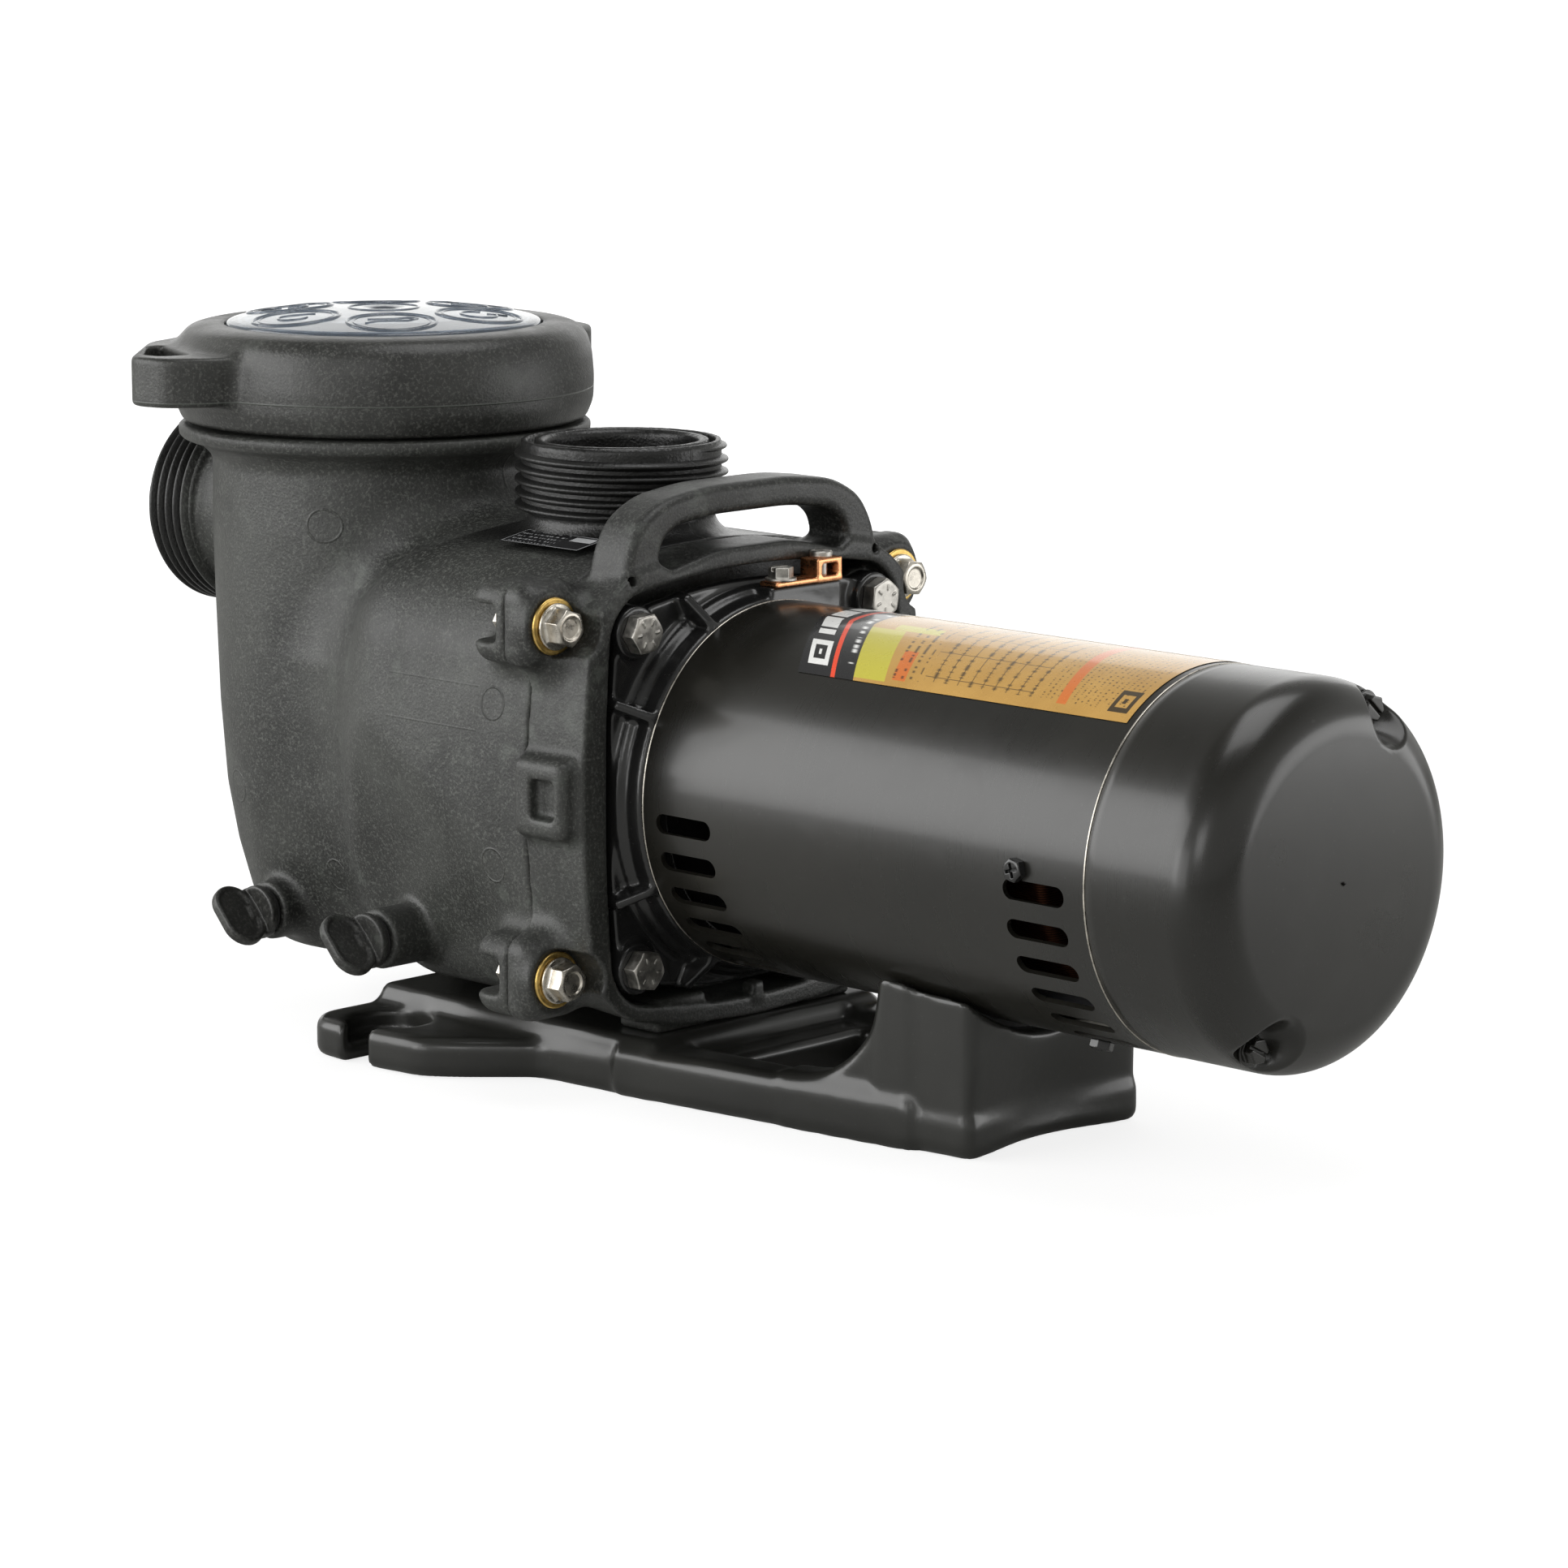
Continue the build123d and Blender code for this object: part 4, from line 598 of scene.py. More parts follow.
def make_finishes():
    """One material for each of the record's slots."""
    return {
        # the housing's finish also carries the painted shade on each port and its thread
        "housing_plastic": grained_plastic("housing_plastic", BLACK, 0.43, 1.0, marks=True),
        "ring_plastic": grained_plastic("ring_plastic", (0.0155, 0.0158, 0.0145), 0.36, 0.7, ring_line=True),
        "bracket_plastic": grained_plastic("bracket_plastic", (0.0150, 0.0155, 0.0142), 0.37, 0.8),
        "base_plastic": gloss_paint("base_plastic", (0.0125, 0.0125, 0.0112), 0.27, 1.4),
        "plug_plastic": grained_plastic("plug_plastic", (0.013, 0.013, 0.012), 0.35, 0.6),
        "clear_plastic": clear_cover("clear_plastic"),
        "basket_plastic": moulded_colour("basket_plastic", (0.10, 0.105, 0.11), 0.42),
        "black_rubber": soft_rubber("black_rubber", (0.012, 0.012, 0.012)),
        "stainless": plated("stainless", (0.66, 0.62, 0.55), 0.27, 0.12, 0.62),
        "yellow_zinc": plated("yellow_zinc", (0.78, 0.53, 0.17), 0.30, 0.1, 0.62),
        "zinc_steel": plated("zinc_steel", (0.56, 0.54, 0.50), 0.34, 0.15, 0.55),
        "black_casting": gloss_paint("black_casting", (0.009, 0.009, 0.009), 0.22, 2.4),
        "shell_paint": gloss_paint("shell_paint", (0.0085, 0.0080, 0.0064), 0.27, 0.5, 0.05),
        "lamination_steel": striped("lamination_steel", (0.22, 0.22, 0.23), (0.10, 0.10, 0.11), 0.0012),
        # Very dark copper: partly a dark varnish, partly painted shade for the motor's inside seen through
        # the vents.
        "copper_wire": striped("copper_wire", (0.075, 0.028, 0.015), (0.02, 0.009, 0.006), 0.0009, "Z", 0.5),
        "rotor_aluminium": plated("rotor_aluminium", (0.62, 0.63, 0.64), 0.42),
        "bearing_steel": plated("bearing_steel", (0.62, 0.62, 0.62), 0.16, 0.05),
        "shaft_steel": plated("shaft_steel", (0.58, 0.58, 0.57), 0.22, 0.2),
        "impeller_plastic": moulded_colour("impeller_plastic", (0.05, 0.052, 0.055), 0.4),
        "diffuser_plastic": moulded_colour("diffuser_plastic", (0.03, 0.031, 0.033), 0.42),
        "ceramic": moulded_colour("ceramic", (0.78, 0.75, 0.68), 0.25, 0.2),
        "carbon": soft_rubber("carbon", (0.02, 0.02, 0.022), 0.35),
        "board_plastic": moulded_colour("board_plastic", (0.30, 0.12, 0.05), 0.45),
        "capacitor_case": moulded_colour("capacitor_case", (0.035, 0.035, 0.038), 0.36),
        "copper_lug": plated("copper_lug", (0.90, 0.42, 0.20), 0.24, 0.12, 0.7),
        "motor_sheet": soft_rubber("motor_sheet", (0.02, 0.02, 0.02), 0.3),
        "pump_sheet": soft_rubber("pump_sheet", (0.02, 0.02, 0.02), 0.3),
        "fan_plastic": moulded_colour("fan_plastic", (0.04, 0.04, 0.042), 0.4),
    }


def dress(frame, finishes):
    """Gives each CAD node the finish of its slot."""
    for part in frame["record"]["subparts"]:
        for place in frame["nodes"][part["node"]].material_slots:
            place.material = finishes[part["material_slot"]]


# ---- wet end -------------------------------------------------------------------------------------
def both_sides(y):
    """Distance from the mid-plane, for shapes that are mirrored across it."""
    return np.abs(y)


# (radius, station) corners of turned sections
POT_WALL = [
    (-20, 22), (34, 22), (47, 26), (54, 35), (57.8, 47.5), (62.9, 66.6), (67.1, 91),
    (69.5, 125.3), (70.7, 166.1), (71.4, 199.9), (70.9, 226.8), (76, 232), (84.6, 235),
    (84.8, 240.5), (75, 240.5), (75, 264), (-20, 264),
]
POT_HOLLOW = [
    (-20, 29), (30, 29), (44, 34), (52.5, 50), (58, 72), (61.5, 125), (61.5, 165), (65.5, 165),
    (65.5, 280), (-20, 280),
]
CHAMBER = [
    (-20, 93.6), (80, 93.6), (80, -5.4), (38, -5.4), (38, 46.6), (33, 46.6), (33, 32.6),
    (24, 32.6), (24, -55.7), (-20, -55.7),
]


def drum_field(x, y, z):
    """Volute drum: a bowed square section, a full round back and two slanting under-cuts."""
    section = bowed_square(y, z - SHAFT_Z, 97, 92, 86, 80, 26)
    drum = meet(section, PARTING_X - 124 - x, 36)
    drum = meet(drum, x - PARTING_X, 0.8)
    lean, run_x, run_z = math.radians(20), 0.852, -0.524
    slant = (x - 48.6) * run_z * math.sin(lean) - (z - 104.6) * run_x * math.sin(lean)
    return meet(drum, slant + (both_sides(y) - 97.0) * math.cos(lean), 2.5)


def spout_field(across, along, rim, inner_end):
    """Bare spout: neck, thread core, rim with its groove. Its bore is cut later."""
    neck = slab(across - 36.5, along, inner_end, rim - 10.0)
    core = slab(across - 39.6, along, rim - 28.0, rim, 0.7)
    spout = join(neck, core, 1.5)
    groove = meet(np.abs(across - 35.8) - 1.4, rim - 4.0 - along)
    return cut(spout, groove, 0.4)


def bore_field(across, along, rim, end):
    """Socket for the pipe, then the narrower port."""
    socket = slab(across - 30.2, along, rim - 38.0, rim + 6.0)
    lead = across - 30.2 - np.maximum(along - rim + 1.5, 0)
    mouth = np.minimum(socket, np.maximum(lead, rim - 1.5 - along))
    return join(slab(across - 26.0, along, end, rim + 6.0), mouth)


def housing_field(x, y, z):
    """Strainer pot, volute drum and both spouts in one moulding, then all that is taken out of it."""
    across = np.hypot(x - POT_X, y)
    pot = turned_upright(across, z, round_corners(POT_WALL, 2.2))
    blend = 30.0 + 28.0 * np.clip((196.0 - z) / 46.0, 0, 1)
    body = join(drum_field(x, y, z), pot, blend)
    ramps = slab(across - 78.4, z, 249.0, 254.0, 0.6)
    turn = np.degrees(np.arctan2(y, x - POT_X))
    for side in (0, 120, -120):
        away = np.abs((turn - side + 180) % 360 - 180) - 28.0
        body = join(body, meet(ramps, away * 1.3, 0.6), 0.5)
    for bolt_z in BOLT_Z:
        low, high = (PARTING_X - 21, 74, bolt_z - 16), (PARTING_X + 12, 107.5, bolt_z + 16)
        lobe = meet(block(x, both_sides(y), z, low, high, 8.5), x - PARTING_X, 0.8)
        body = join(body, lobe, 9.0)
    body = join(body, spout_field(np.hypot(x - PORT_X, y), z, PORT_RIM_Z, SHAFT_Z + 40), 9.0)
    body = join(body, spout_field(np.hypot(y, z - SUCTION_Z), -x, -SUCTION_X, -POT_X - 10), 6.0)
    for px, py, pz in (POT_DRAIN, VOLUTE_DRAIN):
        boss = slab(np.hypot(x - px, z - pz) - 12.0, y, py, py + 40.0, 0.9)
        body = join(body, boss, 5.0)
    body = cut(body, turned_upright(across, z, round_corners(POT_HOLLOW, 1.5)), 0.8)
    body = cut(body, turned_on_shaft(np.hypot(y, z - SHAFT_Z), x, CHAMBER))
    body = cut(body, bore_field(np.hypot(x - PORT_X, y), z, PORT_RIM_Z, SHAFT_Z + 40))
    body = cut(body, bore_field(np.hypot(y, z - SUCTION_Z), -x, -SUCTION_X, -POT_X))
    for bolt_z in BOLT_Z:
        low, high = (PARTING_X - 30, 89.0, bolt_z - 7.2), (PARTING_X - 5, 130, bolt_z + 7.2)
        body = cut(body, block(x, both_sides(y), z, low, high, 2.5), 1.4)
        hole = slab(np.hypot(both_sides(y) - BOLT_Y, z - bolt_z) - 4.3, x, PARTING_X - 40, PARTING_X + 6)
        body = cut(body, hole)
    for px, py, pz in (POT_DRAIN, VOLUTE_DRAIN):
        body = cut(body, slab(np.hypot(x - px, z - pz) - 7.15, y, py - 6, py + 56.0))
    return body


def thread_sleeve(name, finishes, place):
    """Cast union thread: one helical land with a chamfered start, five turns."""
    pitch, turns, steps = 5.0, 5, 160
    section = [(-1.9, 39.3), (-0.75, 41.9), (-0.3, 42.25), (0.3, 42.25), (0.75, 41.9), (1.9, 39.3)]
    vertices, faces = [], []
    count = turns * steps
    for k in range(count + 1):
        a = 2 * math.pi * k / steps
        fade = min(1.0, k / 26.0, (count - k) / 26.0)
        for along, radius in section:
            out = 39.2 + (radius - 39.2) * fade
            down = -2.6 - pitch * k / steps + along * (0.35 + 0.65 * fade)
            vertices.append(place(out * math.cos(a), out * math.sin(a), down))
    rows = len(section)
    for k in range(count):
        for i in range(rows - 1):
            first = k * rows + i
            faces.append((first, first + 1, first + rows + 1, first + rows))
    return mesh_piece(name, vertices, faces, "pump", "housing_plastic", finishes)


def build_wet_end(finishes):
    low, high = (-204.8, -111.0, 19.0), (95.0, 112.0, 266.5)
    field_piece("pump_housing", housing_field, low, high, 1.55, "pump", "housing_plastic", finishes,
                ("pump_body",), parting=(-95.0, 5.0))
    thread_sleeve("discharge_thread", finishes, lambda a, b, d: (PORT_X + a, b, PORT_RIM_Z + d))
    thread_sleeve("suction_thread", finishes, lambda a, b, d: (SUCTION_X - d, a, SUCTION_Z + b))


# ---- lid -----------------------------------------------------------------------------------------
RING_OUTSIDE = [
    (60, 241.5), (82.8, 241.5), (85.9, 249), (86.2, 259), (85.4, 269), (83.6, 275.5), (80, 279.4),
    (74, 281), (60, 280.8),
]
RING_INSIDE = [(-20, 230), (78.8, 230), (78.8, 273), (65.3, 273), (65.3, 300), (-20, 300)]
WING_LEAN = -4.0
# (radius, degrees) corners about the pot's axis
WING = [
    (66, -80), (78, -83), (96, -87), (111, -93.5), (116.5, -102), (97, -134), (88, -150), (80, -163),
    (68, -140),
]
WING_POCKET = [(92.5, -98.5), (105, -99.5), (107.5, -105), (98, -121), (91.5, -124)]


def polar_outline(corners, radius):
    """Rounded outline from (radius, degrees) corners."""
    flat = [(r * math.cos(math.radians(a)), r * math.sin(math.radians(a))) for r, a in corners]
    return round_corners(flat, radius)


def wing_field(u, v, z):
    """Fin-shaped grip with a finger pocket. u and v are measured from the pot's axis."""
    grip = slab(outline_field(u, v, polar_outline(WING, 7.0)), z, 252.6, 272.6, 2.0)
    pocket = slab(outline_field(u, v, polar_outline(WING_POCKET, 3.0)), z, 258.5, 290.0)
    return grip, pocket


def lock_ring_field(x, y, z):
    """Turned ring with a wing, its mirror image about a leaning line, and three tabs inside."""
    u = x - POT_X
    across = np.hypot(u, y)
    ring = turned_upright(across, z, round_corners(RING_OUTSIDE, 2.6, 5))
    turn = 2 * math.radians(WING_LEAN)
    mirrored = u * math.cos(turn) + y * math.sin(turn), u * math.sin(turn) - y * math.cos(turn)
    pockets = []
    for place in ((u, y), mirrored):
        grip, pocket = wing_field(*place, z)
        ring = join(ring, grip, 4.5)
        pockets.append(pocket)
    for pocket in pockets:
        ring = cut(ring, pocket, 1.2)
    ring = cut(ring, turned_upright(across, z, RING_INSIDE), 0.6)
    turn_of = np.degrees(np.arctan2(y, u))
    tab = np.maximum(slab(across - 80.0, z, 241.6, 248.6), 75.4 - across)
    for side in (60, 180, -60):
        away = np.abs((turn_of - side + 180) % 360 - 180) - 25.0
        ring = join(ring, meet(tab, away * 1.3, 0.6), 0.5)
    return ring


WINDOW_CROWN = [
    (2.5, 285.05), (5, 285.3), (6.5, 286.0), (9, 286.5), (14, 286.45), (26, 286.0), (37, 285.4),
    (48, 284.4), (56, 283.2), (62.4, 282.2),
]
WINDOW_RIM = [
    (64.2, 281.4), (64.9, 279.4), (64.9, 272.6), (73, 272.6), (73, 269.25), (72.6, 269.25),
    (67.4, 269.25), (67.4, 266.5), (59.4, 266.5), (59, 275.6), (57, 276.6), (44, 279.2), (24, 281.0),
]
WINDOW_MIDDLE = (285.0, 281.3)


def window_mesh(finishes):
    """Clear domed cover, hollow below, with a dimple in the middle."""
    top, below = WINDOW_MIDDLE
    profile = round_corners(WINDOW_CROWN + WINDOW_RIM, 0.6, 3)
    vertices, faces = lathe([(0.02, top)] + profile + [(0.02, below)], 192, (POT_X, 0, 0))
    return mesh_piece("lid_window_cover", vertices, faces[:, ::-1], "lid_cover", "clear_plastic", finishes,
                      replaces=("lid_window",))


def crown_height(radius):
    """Height of the window's outer face at a distance from its axis."""
    radii, heights = zip((0.0, WINDOW_MIDDLE[0]), *WINDOW_CROWN)
    return np.interp(radius, radii, heights)


def raised_line(points, width, height, closed=True):
    """Rounded ridge that follows a line drawn on the window, in (u, v) from its axis."""
    points = np.array(points, float)
    before, after = np.roll(points, 1, axis=0), np.roll(points, -1, axis=0)
    if not closed:
        before[0], after[-1] = points[0], points[-1]
    along = after - before
    along /= np.maximum(np.linalg.norm(along, axis=1), 1e-6)[:, None]
    side = np.stack([-along[:, 1], along[:, 0]], 1)
    shape = [(-0.5, -0.25), (-0.36, 0.6), (-0.12, 0.95), (0.12, 0.95), (0.36, 0.6), (0.5, -0.25)]
    rows = []
    for across, up in shape:
        at = points + side * width * across
        level = crown_height(np.hypot(at[:, 0], at[:, 1])) + height * up
        rows.append(np.column_stack([at[:, 0] + POT_X, at[:, 1], level]))
    vertices = np.stack(rows, 1).reshape(-1, 3)
    faces, count, width_rows = [], len(points), len(shape)
    for k in range(count if closed else count - 1):
        for i in range(width_rows - 1):
            a, b = k * width_rows + i, (k + 1) % count * width_rows + i
            faces.append((a, b, b + 1, a + 1))
    return vertices, faces


def merge(pieces):
    """One list of vertices and faces out of several."""
    vertices, faces, offset = [], [], 0
    for points, quads in pieces:
        vertices.append(np.asarray(points, float))
        faces += [tuple(offset + v for v in quad) for quad in quads]
        offset += len(points)
    return np.concatenate(vertices), faces


def oval(centre, long_half, short_half, lean, steps=96):
    turn = np.linspace(0, 2 * math.pi, steps, endpoint=False)
    a, b = long_half * np.cos(turn), short_half * np.sin(turn)
    return np.column_stack([centre[0] + a * math.cos(lean) - b * math.sin(lean),
                            centre[1] + a * math.sin(lean) + b * math.cos(lean)])


EMBLEM_COUNT = 6
EMBLEM_CIRCLE = 43.0
EMBLEM_START = -37.0
SIGN_SIZE = 1.35


def window_emblems(finishes):
    """Six plain rings round the dome, each with a simple sign: a bar, a turn arrow or a drop."""
    ridges = []
    for k in range(EMBLEM_COUNT):
        a = math.radians(EMBLEM_START + 360.0 * k / EMBLEM_COUNT)
        centre = (EMBLEM_CIRCLE * math.cos(a), EMBLEM_CIRCLE * math.sin(a))
        across = a + math.pi / 2
        ridges.append(raised_line(oval(centre, 18.2, 17.6, across), 1.4, 0.7))
        ridges.append(raised_line(oval(centre, 15.6, 15.0, across), 0.8, 0.35))
        ridges.append(sign(k % 3, centre, across))
    ridges.append(raised_line(oval((0, 0), 14.5, 14.5, 0.0), 1.0, 0.45))
    vertices, faces = merge(ridges)
    return mesh_piece("window_emblems", vertices, faces, "lid_cover", "clear_plastic", finishes)


def sign(kind, centre, lean):
    """A bar, a turn arrow or a drop, drawn as one line."""
    if kind == 0:
        line = [(-8, -3), (-4, 0), (5, 0), (8, 3.5), (5, 5), (1, 3), (-7, 3)]
    elif kind == 1:
        turn = np.linspace(0.4, 5.6, 40)
        line = [(6 * math.cos(t), 5.5 * math.sin(t)) for t in turn] + [(6.5, -6.5), (3.2, -1.2)]
    else:
        turn = np.linspace(-0.5, 3.7, 36)
        line = [(0.0, 7.0)] + [(-4.6 * math.cos(t), -4.6 * math.sin(t) - 1.0) for t in turn]
    right = np.array([math.cos(lean), math.sin(lean)]) * SIGN_SIZE
    up = np.array([-math.sin(lean), math.cos(lean)]) * SIGN_SIZE
    points = [np.array(centre) + u * right + v * up for u, v in line]
    return raised_line(points, 1.1, 0.5, closed=False)


def build_lid(finishes):
    low, high = (POT_X - 122.0, -121.0, 239.5), (POT_X + 122.0, 121.0, 283.5)
    field_piece("lock_ring_cap", lock_ring_field, low, high, 1.05, "lock_ring", "ring_plastic", finishes,
                ("lid_lock_ring",))
    window_mesh(finishes)
    window_emblems(finishes)


# ---- seal plate and motor bracket ----------------------------------------------------------------
HANDLE = [
    (-70, 80), (-67, 95), (-60, 106.5), (-46, 114), (-22, 117), (22, 117), (46, 114), (60, 106.5),
    (67, 95), (70, 80),
]
HANDLE_SLOT = [
    (-51, 90), (-48.5, 98), (-41, 103), (-20, 105.5), (20, 105.5), (41, 103), (48.5, 98), (51, 90),
    (46, 86.5), (20, 92.5), (-20, 92.5), (-46, 86.5),
]


def bracket_field(x, y, z):
    """Seal plate and bracket: a shallow tray towards the motor, with bolt lobes and the handle's arch."""
    v, side = z - SHAFT_Z, both_sides(y)
    share = np.clip((x - PARTING_X) / (RIM_X - PARTING_X), 0, 1)
    section = bowed_square(y, v, 97 - 3.5 * share, 92 + share, 86 - 0.5 * share, 80 + share, 26 - 6 * share)
    shell = meet(slab(section, x, PARTING_X, RIM_X), x - RIM_X, 1.6)
    recess = bowed_square(y, v, 81, 85, 77, 77, 14)
    for bolt_z in BOLT_Z:
        low, high = (PARTING_X - 12, 78, bolt_z - 16.5), (BOSS_X, 107.5, bolt_z + 16.5)
        shell = join(shell, block(x, side, z, low, high, 7.5), 11.0)
        rise = slab(np.hypot(side - BOLT_Y, z - bolt_z) - 13.4, x, PARTING_X + 4, BOSS_X, 1.2)
        shell = join(shell, rise, 2.5)
    lug = block(x, side, z, (PARTING_X - 8, 70, SHAFT_Z - 12), (RIM_X - 3, 102.5, SHAFT_Z + 19), 4.5)
    shell = join(shell, lug, 4.0)
    arch = outline_field(y, v, round_corners(HANDLE, 8.0))
    shell = join(shell, slab(arch, x, RIM_X - 24, RIM_X - 2, 3.5), 4.0)
    shell = meet(shell, PARTING_X - x, 0.8)
    shell = cut(shell, meet(recess, 96.6 - x, 1.5), 1.6)
    pocket = block(x, side, z, (PARTING_X + 8, 97.5, SHAFT_Z - 4), (RIM_X - 8, 112, SHAFT_Z + 11), 2.0)
    shell = cut(shell, pocket, 1.4)
    slot = outline_field(y, v, round_corners(HANDLE_SLOT, 6.0))
    shell = cut(shell, slab(slot, x, PARTING_X + 3, RIM_X + 30), 3.4)
    shell = join(shell, slab(np.hypot(y, v) - 76.0, x, 84.6, PARTING_X + 0.8))
    for bolt_z in BOLT_Z:
        far = np.hypot(side - BOLT_Y, z - bolt_z)
        shell = cut(shell, meet(far - 12.0, BOSS_X - x), 0.5)
        shell = cut(shell, slab(far - 4.3, x, PARTING_X - 4, BOSS_X + 4))
    corner = np.hypot(side - MOTOR_BOLT, np.abs(v) - MOTOR_BOLT)
    shell = join(shell, slab(corner - 11.0, x, 95.6, MOUNT_X, 0.6), 3.0)
    shell = cut(shell, slab(corner - 4.9, x, 97.6, MOUNT_X + 3))
    shell = join(shell, slab(np.hypot(y, v) - 24.0, x, 95.6, 101.6, 0.8), 2.0)
    shell = cut(shell, slab(np.hypot(y, v) - 13.0, x, 84.0, 104.0))
    shell = cut(shell, slab(np.hypot(y, v) - 17.0, x, 82.0, 94.6))
    shell = cut(shell, meet(np.hypot(side - 66.1, v - 84.5) - 2.0, RIM_X - 12.0 - x), 0.5)
    low, high = (RIM_X - 24, 27, 23.6), (RIM_X - 2, 53, 37)
    shell = join(shell, block(x, side, z, low, high, 1.5), 2.0)
    low, high = (RIM_X - 7, -3.2, SHAFT_Z - 88), (RIM_X, 3.2, SHAFT_Z - 80)
    return join(shell, block(x, y, z, low, high, 1.0), 1.0)


def build_bracket(finishes):
    low, high = (82.5, -110.0, 21.5), (124.0, 111.0, 236.0)
    field_piece("bracket_casting", bracket_field, low, high, 1.15, "pump", "bracket_plastic", finishes,
                ("motor_bracket",), parting=(110.0,))


# ---- motor ---------------------------------------------------------------------------------------
def end_bell_field(x, y, z):
    """Motor's front casting: square flange, open cone, eight slanting ribs and the lug's pad."""
    v = z - SHAFT_Z
    across = np.hypot(y, v)
    plate = slab(bowed_square(y, v, 76, 79, 71.5, 70, 13), x, MOUNT_X, MOUNT_X + 5, 1.0)
    corner = np.hypot(np.abs(y) - MOTOR_BOLT, np.abs(v) - MOTOR_BOLT)
    bell = join(plate, slab(corner - 10.2, x, MOUNT_X, MOUNT_X + 9, 1.0), 3.0)
    cone = [(-10, MOUNT_X), (76, MOUNT_X), (76, MOUNT_X + 8.2), (73.4, MOUNT_X + 10.5), (72.6, SHELL_X - 0.4),
            (69.4, SHELL_X - 0.2), (69.4, SHELL_X + 5), (-10, SHELL_X + 5)]
    bell = join(bell, turned_on_shaft(across, x, round_corners(cone, 1.0, 3)), 3.0)
    for angle in (27, 63, 117, 153, -27, -63, -117, -153):
        radial = math.cos(math.radians(angle)), math.sin(math.radians(angle))
        out = y * radial[0] + v * radial[1]
        beside = np.abs(v * radial[0] - y * radial[1]) - 1.9
        slope = (out - 86.0) + (x - MOUNT_X - 9.0) * 1.3
        web = meet(meet(beside, np.maximum(slope * 0.6, out - 86.0), 0.8), 60 - out)
        web = meet(web, np.maximum(MOUNT_X + 2 - x, x - SHELL_X + 0.3), 0.8)
        bell = join(bell, web, 2.2)
    hollow = meet(across - 63, MOUNT_X + 12 - x)
    bell = cut(bell, hollow)
    bell = cut(bell, np.maximum(across - 56, x - MOUNT_X - 4))
    pad = block(x, y, z, (SHELL_X - 9, -2, SHAFT_Z + 60), (SHELL_X, 37, SHAFT_Z + PAD_TOP), 1.0)
    return join(bell, meet(pad, 66 - across), 1.5)


def build_end_bell(finishes):
    low, high = (110.5, -84.5, SHAFT_Z - 84.5), (137.0, 85.0, SHAFT_Z + 85.0)
    field_piece("end_bell_casting", end_bell_field, low, high, 1.1, "pump", "black_casting", finishes,
                ("end_bell",))


def merged_copy(node, name):
    """Loose copy of a CAD node, its doubled vertices joined."""
    mesh = node.data.copy()
    shape = bmesh.new()
    shape.from_mesh(mesh)
    bmesh.ops.remove_doubles(shape, verts=shape.verts, dist=1e-6)
    shape.to_mesh(mesh)
    shape.free()
    mesh.name = name
    return mesh


def polished_shell(frame, finishes):
    """The shell with true round normals, so its reflections run clean."""
    mesh = merged_copy(frame["nodes"]["motor_shell"], "shell_tube")
    piece = bpy.data.objects.new("shell_tube", mesh)
    bpy.context.scene.collection.objects.link(piece)
    normals = []
    for face in mesh.polygons:
        for index in face.loop_indices:
            place = mesh.vertices[mesh.loops[index].vertex_index].co
            radial = Vector((0, place.y, place.z - SHAFT_Z * MM))
            leaning = face.normal.dot(radial.normalized())
            round_face = abs(leaning) > 0.95
            normals.append(radial.normalized() * (1 if leaning > 0 else -1) if round_face else face.normal)
    mesh.shade_smooth()
    mesh.normals_split_custom_set(normals)
    for place in piece.material_slots:
        place.material = finishes["shell_paint"]
    adopt(piece, "pump", ("motor_shell",))


def bare_band(name, finishes, radius, station, width, thickness):
    """Thin strip of unpainted metal at a sheet's cut edge."""
    profile = [(radius, station - width), (radius + thickness * 0.6, station - width * 0.7),
               (radius + thickness, station), (radius + thickness * 0.6, station + width * 0.7),
               (radius, station + width)]
    vertices, faces = lathe(profile, 240, (0, 0, SHAFT_Z), "x")
    return mesh_piece(name, vertices, faces, "pump", "stainless", finishes)


CANOPY_WALL = 1.2
DIMPLE_X = CANOPY_END_X - 15.5
DIMPLES = [(65.2 * math.cos(math.radians(a)), 65.2 * math.sin(math.radians(a))) for a in (62.0, 242.0)]


def cup_profile():
    """(radius, x) along the cup from its open rim to just short of its centre."""
    start, shoulder = SHELL_X + SHELL_LENGTH + 0.3, 20.0
    line = [(SHELL_RADIUS - 0.35, start), (SHELL_RADIUS, start + 0.4)]
    line += [(SHELL_RADIUS, start + 0.4 + k * 4.0) for k in range(1, 10)]
    centre_x = CANOPY_END_X - shoulder
    for k in range(25):
        a = math.pi / 2 * k / 24
        line.append((SHELL_RADIUS - shoulder + shoulder * math.cos(a), centre_x + shoulder * math.sin(a)))
    flat = SHELL_RADIUS - shoulder
    return line + [(flat * (1 - k / 40), CANOPY_END_X) for k in range(1, 40)] + [(0.04, CANOPY_END_X)]


def dented(x, y, v):
    """Station of the cup's face after its crown and its two pressed screw dimples."""
    across = np.hypot(y, v)
    x = x + np.where(x > CANOPY_END_X - 20.0, 1.0 * np.clip(1 - (across / 51.6) ** 2, 0, 1), 0)
    for dy, dz in DIMPLES:
        near = np.hypot(y - dy, v - dz)
        share = np.clip((13.5 - near) / 6.5, 0, 1)
        share = share * share * (3 - 2 * share)
        x = np.where(x > DIMPLE_X, x + (DIMPLE_X - x) * share, x)
    return x


